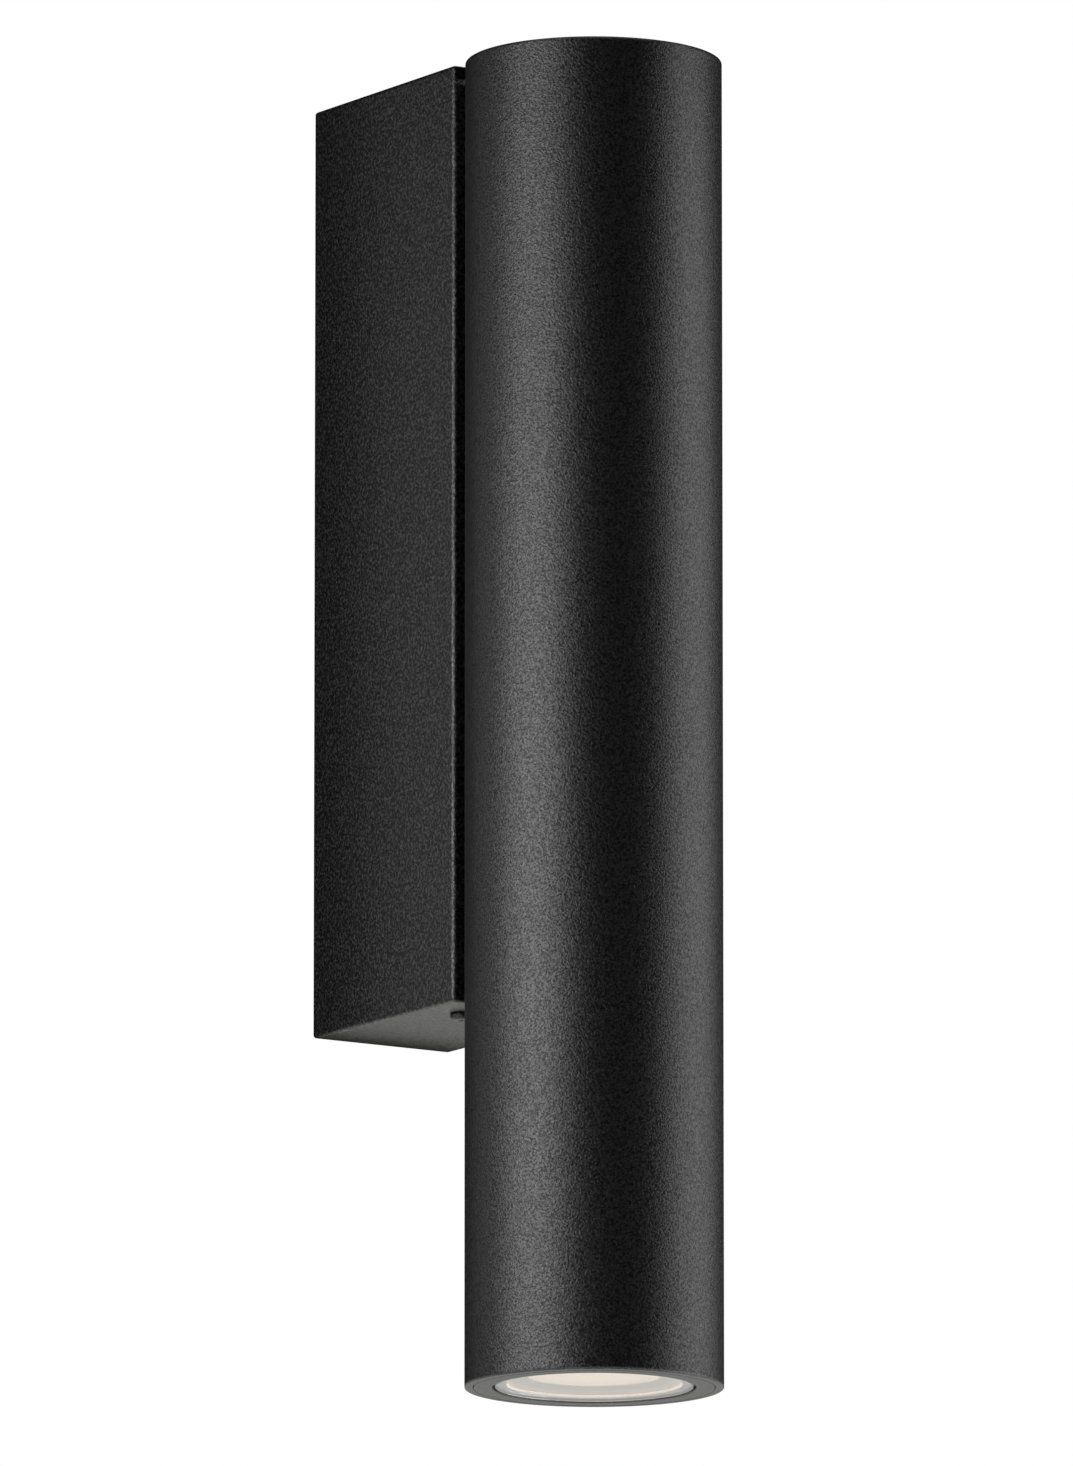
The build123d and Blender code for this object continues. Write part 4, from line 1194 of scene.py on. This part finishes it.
@dataclass
class Tube(SubAssembly):
    """The tube, its cap and seal, and what holds it to the box."""

    kept: tuple[str, ...] = (
        "saddle_gasket", "clamp_bar", "tube_screw_washers", "lead_bush", "top_cap_seal"
    )
    wall: float = 2.0 * MM
    rim_rounding: float = 0.35 * MM
    mouth_rounding: float = 0.4 * MM
    segments: int = 192
    circlip_level: float = 26.0 * MM  # of its groove's lower edge
    circlip_groove: float = 0.8 * MM  # depth
    circlip_height: float = 1.3 * MM
    screw_pitch: float = 120 * MM  # from one tube screw to the other
    screw_hole: float = 2.3 * MM  # radius
    bush_hole: float = 4.95 * MM  # radius
    hole_reach: float = 12 * MM  # length of the drill, whose middle is on the tube's back
    cap_thickness: float = 3.0 * MM
    cap_skirt: float = 7.0 * MM
    cap_skirt_wall: float = 4.0 * MM
    cap_rounding: float = 0.3 * MM
    seal_seat: float = 4.2 * MM  # from the cap's top to the middle of its seal
    seal_groove_half: float = 0.7 * MM
    seal_groove_depth: float = 1.13 * MM

    def build(self) -> None:
        """Turn the tube and its cap, and put in the tube's screws."""
        self.turn_tube()
        self.turn_cap()
        ScrewSet("tube_screws", M4, (-OUTWARD,), (1, 1, 2)).build()

    def turn_tube(self) -> None:
        """Turn the tube with its circlip groove, and drill its back."""
        radius, _, length = round_size("tube_body")
        bore = radius - self.wall
        groove_top = self.circlip_level + self.circlip_height
        section = [
            (bore, 0, self.mouth_rounding),
            (radius, 0, self.rim_rounding),
            (radius, length, self.rim_rounding),
            (bore, length, self.mouth_rounding),
            (bore, groove_top, 0),
            (bore + self.circlip_groove, groove_top, 0),
            (bore + self.circlip_groove, self.circlip_level, 0),
            (bore, self.circlip_level, 0),
        ]
        blank = turned_mesh("tube", section, self.segments)
        back = TUBE_CENTRE.y + radius
        half = self.screw_pitch / 2
        places = [Vector((0, back, z)) for z in (-half, half, 0)]
        bores = [self.screw_hole, self.screw_hole, self.bush_hole]
        reaches, aims = [self.hole_reach] * len(bores), [OUTWARD] * len(bores)
        add_points(blank, places, {"bore": bores, "reach": reaches, "aim": aims})
        settle(BORES.grow("tube_shell", blank, "tube_body", {}), "tube_body", "fixture")

    def turn_cap(self) -> None:
        """Turn the cap with its skirt and its seal's groove."""
        radius, _, top = round_size("top_cap")
        floor = top - self.cap_thickness
        foot = floor - self.cap_skirt
        seal_foot, seal_top = (
            top - self.seal_seat + side * self.seal_groove_half for side in (-1, 1)
        )
        inner = radius - self.cap_skirt_wall
        groove = radius - self.seal_groove_depth
        ease = self.cap_rounding
        section = [
            (0, top, 0),
            (radius, top, ease),
            (radius, seal_top, 0),
            (groove, seal_top, 0),
            (groove, seal_foot, 0),
            (radius, seal_foot, 0),
            (radius, foot, ease),
            (inner, foot, ease),
            (inner, floor, ease),
            (0, floor, 0),
        ]
        turn_piece("tube_cap", section, self.segments, "top_cap", "fixture")


@dataclass
class LightEngine(SubAssembly):
    """The heat sink with its circlip, and the LED on its board in its holder."""

    kept: tuple[str, ...] = (
        "tube_circlip", "thermal_pad", "led_board", "led_emitter", "led_holder", "reflector"
    )
    rim_inner: float = 25.65 * MM  # radius inside the rim that rests on the circlip
    rim_depth: float = 3.2 * MM
    chamber: float = 20.9 * MM  # radius of the space for the LED and its optic
    base_thickness: float = 6.0 * MM
    edge_rounding: float = 0.4 * MM
    segments: int = 144
    fin_count: int = 8
    fin_pitch: float = 5.6 * MM
    fin_thickness: float = 1.8 * MM
    fin_height: float = 36.0 * MM
    fin_reach: float = 24.4 * MM
    fin_rounding: float = 0.7 * MM
    fin_root: float = 1.0 * MM  # how far the fins reach into the base
    lead_hole: float = 1.2 * MM  # radius
    lead_spread: float = 1.6 * MM  # of each lead from the middle
    screw_hole: float = 1.55 * MM  # radius
    screw_spread: float = 14.4 * MM  # of each screw from the middle
    screw_reach: float = 9.0 * MM  # length of the drill, whose middle is in the chamber's roof

    def build(self) -> None:
        """Make the heat sink, and put in the holder's screws."""
        radius, foot, fins_top = round_size("heat_sink")
        base_top = fins_top - self.fin_height
        base = self.turn_base(radius, foot, base_top)
        self.raise_fins(base, base_top)
        ScrewSet("holder_screws", M3, (-UP,), (2, 1, 1)).build()

    def turn_base(self, radius: float, foot: float, top: float) -> bpy.types.Object:
        """Turn the heat sink's base, and drill it for the leads and the holder's screws.

        Args:
            radius: Its radius.
            foot: Height of its rim's lower edge.
            top: Height of its upper face.

        Returns:
            The drilled base.
        """
        roof = top - self.base_thickness
        ease = self.edge_rounding
        section = [
            (self.rim_inner, foot, ease),
            (radius, foot, ease),
            (radius, top, ease),
            (0, top, 0),
            (0, roof, 0),
            (self.chamber, roof, ease),
            (self.chamber, foot + self.rim_depth, ease),
            (self.rim_inner, foot + self.rim_depth, 0),
        ]
        blank = turned_mesh("heat_sink", section, self.segments)
        middle = TUBE_CENTRE + Vector((0, 0, (roof + top) / 2))
        lead_y = (self.fin_count / 2 - 1) * self.fin_pitch
        kinds = (
            (self.lead_spread, lead_y, 0, self.lead_hole, 2 * self.base_thickness),
            (self.screw_spread, 0, -self.base_thickness / 2, self.screw_hole, self.screw_reach),
        )
        places, bores, reaches = [], [], []
        for spread, y, z, bore, reach in kinds:
            places += [middle + Vector((side * spread, y, z)) for side in (1, -1)]
            bores += [bore] * 2
            reaches += [reach] * 2
        add_points(blank, places, {"bore": bores, "reach": reaches, "aim": [UP] * len(bores)})
        return BORES.grow("heat_sink_base", blank, "heat_sink", {})

    def raise_fins(self, base: bpy.types.Object, top: float) -> None:
        """Raise the fins on the base, and finish the heat sink.

        Args:
            base: The drilled base, which the heat sink takes in.
            top: Height of the base's upper face.
        """
        sizes = {
            "Count": self.fin_count,
            "Pitch": self.fin_pitch,
            "Thickness": self.fin_thickness,
            "Height": self.fin_height + self.fin_root,
            "Reach": self.fin_reach,
            "Rounding": self.fin_rounding,
            "Foot": TUBE_CENTRE.z + top - self.fin_root,
            "Centre Y": TUBE_CENTRE.y,
        }
        sink = BARS.grow("finned_heat_sink", base.data, "heat_sink", sizes)
        bpy.data.objects.remove(base)
        settle(sink, "heat_sink", "fixture")


@dataclass
class Optic(SubAssembly):
    """The diffuser and the white bezel round it."""

    kept: tuple[str, ...] = ("diffuser",)
    segments: int = 192
    window: float = 20.2 * MM  # radius where the pale face starts
    nose: float = 23.6 * MM  # radius of the part that stands in the gasket
    aperture: float = 15.2 * MM  # radius that shows the diffuser
    pocket: float = 17.45 * MM  # radius round the diffuser
    core_wall: float = 1.6 * MM
    face_level: float = 3.85 * MM
    flange_level: float = 4.75 * MM
    funnel_depth: float = 2.0 * MM  # from the face up to the diffuser
    edge_rounding: float = 0.2 * MM
    lip_rounding: float = 0.12 * MM
    lip_height: float = 0.5 * MM

    def build(self) -> None:
        """Turn the bezel, with an upright lip, on which its finish paints a highlight of the lamp's
        light.
        """
        radius, _, top = round_size("optic_bezel")
        floor = self.flange_level + self.core_wall
        seat = self.face_level + self.funnel_depth
        ease = self.edge_rounding
        section = [
            (self.window, self.face_level, self.lip_rounding),
            (self.nose, self.face_level, ease),
            (self.nose, self.flange_level, 0),
            (radius, self.flange_level, ease),
            (radius, top, ease),
            (radius - self.core_wall, top, ease),
            (radius - self.core_wall, floor, 0),
            (self.pocket + self.core_wall, floor, 0),
            (self.pocket + self.core_wall, top, ease),
            (self.pocket, top, ease),
            (self.pocket, seat, 0),
            (self.aperture, seat, ease),
            (self.window, self.face_level + self.lip_height, 0),
        ]
        turn_piece("white_bezel", section, self.segments, "optic_bezel", "fixture")


@dataclass
class FrontEnd(SubAssembly):
    """The front glass with its gaskets, and the threaded ring that holds it."""

    kept: tuple[str, ...] = ("glass_gasket", "front_seal", "ring_seal")
    segments: int = 192
    face_radius: float = 23.2 * MM
    flange_level: float = 1.75 * MM
    chamfer: float = 0.3 * MM
    flange_rounding: float = 0.15 * MM
    lip_radius: float = 23.6 * MM  # inside the lip that holds the glass
    lip: float = 1.45 * MM  # its thickness
    pocket: float = 26.0 * MM  # radius round the glass's flange
    groove: float = 26.82 * MM  # radius at the bottom of the seal's groove
    groove_foot: float = 2.7 * MM
    groove_top: float = 4.1 * MM
    ring_rounding: float = 0.25 * MM
    rim_rounding: float = 0.4 * MM
    pitch: float = 1.5 * MM
    thread_depth: float = 0.5 * MM
    thread_margin: float = 0.55 * MM  # of plain root at both ends of the thread

    def build(self) -> None:
        """Turn the glass and the ring, and wind the ring's thread."""
        self.turn_glass()
        self.turn_ring()

    def turn_glass(self) -> None:
        """Turn the glass, stepped at its edge, with a polished chamfer."""
        radius, face, back = round_size("front_glass")
        section = [
            (0, face, 0),
            (self.face_radius - self.chamfer, face, 0),
            (self.face_radius, face + self.chamfer, 0),
            (self.face_radius, self.flange_level, 0),
            (radius, self.flange_level, self.flange_rounding),
            (radius, back, self.flange_rounding),
            (0, back, 0),
        ]
        turn_piece("stepped_glass", section, self.segments, "front_glass", "glass_set")

    def turn_ring(self) -> None:
        """Turn the ring to its thread's root, and wind the thread above its seal."""
        radius, foot, top = round_size("retaining_ring")
        height = top - foot
        root = radius - self.thread_depth
        ease = self.ring_rounding
        section = [
            (self.lip_radius, 0, ease),
            (radius, 0, self.rim_rounding),
            (radius, self.groove_foot, 0),
            (self.groove, self.groove_foot, 0),
            (self.groove, self.groove_top, 0),
            (root, self.groove_top, 0),
            (root, height, ease),
            (self.pocket, height, ease),
            (self.pocket, self.lip, 0),
            (self.lip_radius, self.lip, ease),
        ]
        blank = turned_mesh("ring_blank", section, self.segments)
        thread_foot = self.groove_top + self.thread_margin
        sizes = {
            "Root Radius": root,
            "Depth": self.thread_depth,
            "Pitch": self.pitch,
            "Turns": (height - self.thread_margin - thread_foot) / self.pitch,
            "Foot": TUBE_CENTRE.z + thread_foot,
            "Centre Y": TUBE_CENTRE.y,
        }
        ring = THREADS.grow("threaded_ring", blank, "retaining_ring", sizes)
        settle(ring, "retaining_ring", "ring_set")


# ---------------------------------------------------------------- studio


@dataclass(frozen=True)
class Softbox:
    """An upright soft light.

    Attributes:
        name: Its name.
        place_mm: Where the middle of its face stands, along X and Y.
        turn: How far its face is turned about the upright, in degrees; at 0 it looks at the wall.
        width_mm: Of its face.
        foot_mm: Height of its lower edge.
        head_mm: Height of its upper edge.
        radiance: Brightness of its face, where 1 is white.
    """

    name: str
    place_mm: tuple[float, float]
    turn: float
    width_mm: float
    foot_mm: float
    head_mm: float
    radiance: float

    def build(self) -> None:
        """Put the light in the scene, where the camera doesn't see it."""
        light = bpy.data.lights.new(self.name, "AREA")
        light.shape = "RECTANGLE"
        light.size, light.size_y = self.width_mm * MM, (self.head_mm - self.foot_mm) * MM
        light.energy = self.radiance * math.pi * light.size * light.size_y
        lamp = bpy.data.objects.new(self.name, light)
        turn = math.radians(self.turn)
        ahead = Vector((-math.sin(turn), math.cos(turn), 0))
        lamp.location = Vector((*self.place_mm, (self.foot_mm + self.head_mm) / 2)) * MM
        lamp.rotation_euler = ahead.to_track_quat("-Z", "Y").to_euler()
        lamp.visible_camera = False
        bpy.context.scene.collection.objects.link(lamp)
        LOG.info("%s at %s mm", self.name, self.place_mm)


SOFTBOXES = (
    Softbox(
        "left_softbox", place_mm=(-900, -43.6), turn=-68.5, width_mm=900, foot_mm=-200,
        head_mm=267, radiance=4.86,
    ),
    Softbox(
        "right_softbox", place_mm=(487.7, -116.1), turn=7.2, width_mm=900, foot_mm=-283,
        head_mm=154, radiance=1.68,
    ),
    Softbox(
        "rear_softbox", place_mm=(-396, 400), turn=221.2, width_mm=480, foot_mm=-200,
        head_mm=267, radiance=0.42,
    ),
)


@dataclass(frozen=True)
class Studio:
    """A pale floor, black flags that shape the reflections, soft lights and the camera.

    Attributes:
        image_height: Of the photograph, in its own pixels.
        focal_pixels: The camera's focal length, in those pixels.
        sensor: The camera's sensor, in millimetres.
        camera_place: Where the camera stands.
        camera_turn: How far it is turned from looking at the wall, in degrees.
        camera_rise: How far it looks up, in degrees.
        camera_reach: How far it sees.
        floor_level: Height of the floor.
        floor_radius: Its radius.
        floor_colour: Its colour.
        floor_glow: Its brightness for reflections, near the middle and far from it.
        floor_pool: How far out the first brightness ends and the second starts.
        flag_radius: How far out the black cloth hangs.
        flag_foot: Its lower edge behind the object.
        flag_head: Its upper edge.
        flag_gap: How wide the part behind the object is, in degrees.
        flag_segments: Corners round the cloth and the floor.
        wall_shade_card_mm: How far the cards round the box's back, a dark sheet that stands in for
            the shade on the wall round the box, reach beside it and past its ends, and how far they
            stand from the wall.
        hood_mm: Left edge, right edge, distance from the wall and top of the card that keeps
            light off the top of the box's front.
        cloth_colour: Colour of the cloth and the cards.
        fill: Brightness of the soft light from all round.
    """

    image_height: float = 1466.0
    focal_pixels: float = 18717.8
    sensor: float = 36.0
    camera_place: tuple[float, float, float] = (-2316.08 * MM, -3688.13 * MM, -842.8 * MM)
    camera_turn: float = 32.612
    camera_rise: float = 10.49
    camera_reach: float = 100.0
    floor_level: float = -1.05
    floor_radius: float = 14.0
    floor_colour: str = "#e6e6e4"
    floor_glow: tuple[float, float] = (1.0, 0.68)
    floor_pool: tuple[float, float] = (3.0, 4.4)
    flag_radius: float = 2.4
    flag_foot: float = -0.28
    flag_head: float = 4.0
    flag_gap: float = 90.0
    flag_segments: int = 96
    wall_shade_card_mm: tuple[float, float, float] = (22.6, 7.5, 6.1)
    hood_mm: tuple[float, float, float, float] = (-30, 60, -62, 200)
    cloth_colour: str = "#050505"
    fill: float = 0.12

    def build(self) -> None:
        """Set up the lights, the floor, the flags, the world and the camera."""
        for softbox in SOFTBOXES:
            softbox.build()
        self.lay_floor()
        self.stand_flags()
        self.light_world()
        self.set_camera()
        bpy.context.scene.view_settings.view_transform = "Standard"

    def seen(self, graph: Graph) -> Node:
        """Tell the rays that look at the background from those that light the object.

        Args:
            graph: The tree that asks.

        Returns:
            A value of 1 for camera, glossy and transmission rays that no dull surface has
            scattered, and 0 for others.
        """
        path = graph.add("ShaderNodeLightPath").outputs
        looks = path["Is Camera Ray"]
        for way in ("Is Glossy Ray", "Is Transmission Ray"):
            looks = graph.add("ShaderNodeMath", {0: looks, 1: path[way]}, operation="MAXIMUM")
        scattered = {0: path["Diffuse Depth"], 1: HALF}
        clean = graph.add("ShaderNodeMath", scattered, operation="LESS_THAN")
        return graph.add("ShaderNodeMath", {0: looks, 1: clean}, operation="MULTIPLY")

    def lay_floor(self) -> None:
        """Lay a round pale floor that keeps the object's shadow and is clear from below.

        The camera sees it evenly bright; what reflects it sees a pool of light that fades.
        """
        shape = bmesh.new()
        bmesh.ops.create_circle(
            shape, cap_ends=True, radius=self.floor_radius, segments=self.flag_segments
        )
        mesh = bpy.data.meshes.new("floor")
        shape.to_mesh(mesh)
        shape.free()
        mesh.transform(Matrix.Translation((0, 0, self.floor_level)))
        colour = linear(self.floor_colour)
        paint = {"Base Color": colour, "Roughness": 0.9, "Emission Color": colour}
        surface = Surface("pale_floor", paint)
        centred = {0: surface.place}
        far = surface.add("ShaderNodeVectorMath", centred, operation="LENGTH").outputs["Value"]
        (near, away), (start, end) = self.floor_glow, self.floor_pool
        pool = {"Value": far, "From Min": start, "From Max": end, "To Min": near, "To Max": away}
        direct = {0: surface.add("ShaderNodeLightPath").outputs["Is Camera Ray"], 1: near}
        levels = {
            0: surface.add("ShaderNodeMapRange", pool),
            1: surface.add("ShaderNodeMath", direct, operation="MULTIPLY"),
        }
        level = surface.add("ShaderNodeMath", levels, operation="MAXIMUM")
        seen = {0: self.seen(surface), 1: level}
        glow = surface.add("ShaderNodeMath", seen, operation="MULTIPLY")
        surface.feed(surface.shader, {"Emission Strength": glow})
        under = surface.add("ShaderNodeNewGeometry").outputs["Backfacing"]
        sides = {0: under, 1: surface.shader, 2: surface.add("ShaderNodeBsdfTransparent")}
        mixed = surface.add("ShaderNodeMixShader", sides)
        surface.feed(surface.tree.nodes["Material Output"], {"Surface": mixed})
        floor = link_object("floor", mesh)
        mesh.materials.append(surface.material)

    def stand_flags(self) -> None:
        """Hang black cloth round the set, and black cards round the box's back and over its front.

        Dark surfaces reflect them; neither the camera nor a ray through glass sees them. The cards
        round the box's back are painted shade: a dark sheet that stands in for the shade on the
        wall round the box.
        """
        quads = [*self.cloth(), *self.cards()]
        corners = [corner for quad in quads for corner in quad]
        mesh = bpy.data.meshes.new("black_flags")
        mesh.from_pydata(corners, [], [tuple(range(i, i + 4)) for i in range(0, len(corners), 4)])
        paint = {"Base Color": linear(self.cloth_colour), "Roughness": 1.0}
        surface = Surface("black_cloth", paint | {"Specular IOR Level": 0.0})
        mesh.materials.append(surface.material)
        flags = link_object("black_flags", mesh)
        flags.visible_camera = False
        flags.visible_transmission = False
        flags.visible_shadow = False

    def cloth(self) -> list[list[Vector]]:
        """Draw the cloth round the object.

        In front and beside the object it reaches the floor. Behind it, it ends higher, so that
        the object's undersides reflect the floor.

        Returns:
            The corners of each of its panels.
        """
        middle = (cad_bounds[0] + cad_bounds[1]) / 2
        posts = []
        for index in range(self.flag_segments):
            angle = FULL_TURN * index / self.flag_segments
            away = Vector((math.sin(angle), math.cos(angle), 0)) * self.flag_radius
            aside = (math.degrees(angle) - self.camera_turn + 180) % 360 - 180
            foot = self.flag_foot if abs(aside) < self.flag_gap / 2 else self.floor_level
            place = Vector((middle.x, middle.y, 0)) + away
            posts.append([place + UP * level for level in (foot, self.flag_head)])
        return [
            [here[0], there[0], there[1], here[1]]
            for here, there in zip(posts, posts[1:] + posts[:1])
        ]

    def cards(self) -> list[list[Vector]]:
        """Draw the cards: four strips round the box's back, a dark sheet that stands in for the
        shade on the wall round the box, and the hood over its front.

        Returns:
            The corners of each of them.
        """
        low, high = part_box("wall_box")
        # painted shade: the strips round the box's back stand in for the shade on the wall round
        # the box
        aside, beyond, back = (size * MM for size in self.wall_shade_card_mm)
        inner, outer = (
            [
                Vector((low.x - out, back, low.z - up)),
                Vector((high.x + out, back, low.z - up)),
                Vector((high.x + out, back, high.z + up)),
                Vector((low.x - out, back, high.z + up)),
            ]
            for out, up in ((0, 0), (aside, beyond))
        )
        strips = [[inner[i - 1], inner[i], outer[i], outer[i - 1]] for i in range(len(inner))]
        left, right, depth, top = (size * MM for size in self.hood_mm)
        corners = ((left, tube_high.z), (right, tube_high.z), (right, top), (left, top))
        return [*strips, [Vector((x, depth, z)) for x, z in corners]]

    def light_world(self) -> None:
        """Make the world white where it is looked at, and a soft fill elsewhere."""
        world = bpy.data.worlds.new("studio")
        world.use_nodes = True
        graph = Graph(world.node_tree)
        level = {"Value": self.seen(graph), "To Min": self.fill, "To Max": 1.0}
        light = {"Color": (1, 1, 1, 1), "Strength": graph.add("ShaderNodeMapRange", level)}
        graph.feed(graph.tree.nodes["Background"], light)
        bpy.context.scene.world = world

    def set_camera(self) -> None:
        """Stand the camera where the photograph was taken, below and to the left."""
        camera = bpy.data.cameras.new("camera")
        camera.sensor_width = self.sensor
        camera.lens = self.focal_pixels * self.sensor / self.image_height
        camera.clip_end = self.camera_reach
        stand = bpy.data.objects.new("camera", camera)
        turn, rise = math.radians(self.camera_turn), math.radians(self.camera_rise)
        level = math.cos(rise)
        ahead = Vector((math.sin(turn) * level, math.cos(turn) * level, math.sin(rise)))
        stand.location = self.camera_place
        stand.rotation_euler = ahead.to_track_quat("-Z", "Y").to_euler()
        bpy.context.scene.collection.objects.link(stand)
        bpy.context.scene.camera = stand


SUB_ASSEMBLIES: tuple[type[SubAssembly], ...] = (
    WallSide, WallBox, Driver, Terminals, Leads, Tube, LightEngine, Optic, FrontEnd
)


def main() -> None:
    """Build the studio and the light's sub-assemblies in order."""
    logging.basicConfig(level=logging.INFO, format="%(message)s")
    Studio().build()
    for kind in SUB_ASSEMBLIES:
        LOG.info("-- %s", kind.__name__)
        assembly = kind()
        assembly.dress()
        assembly.build()


if __name__ == "__main__":
    main()
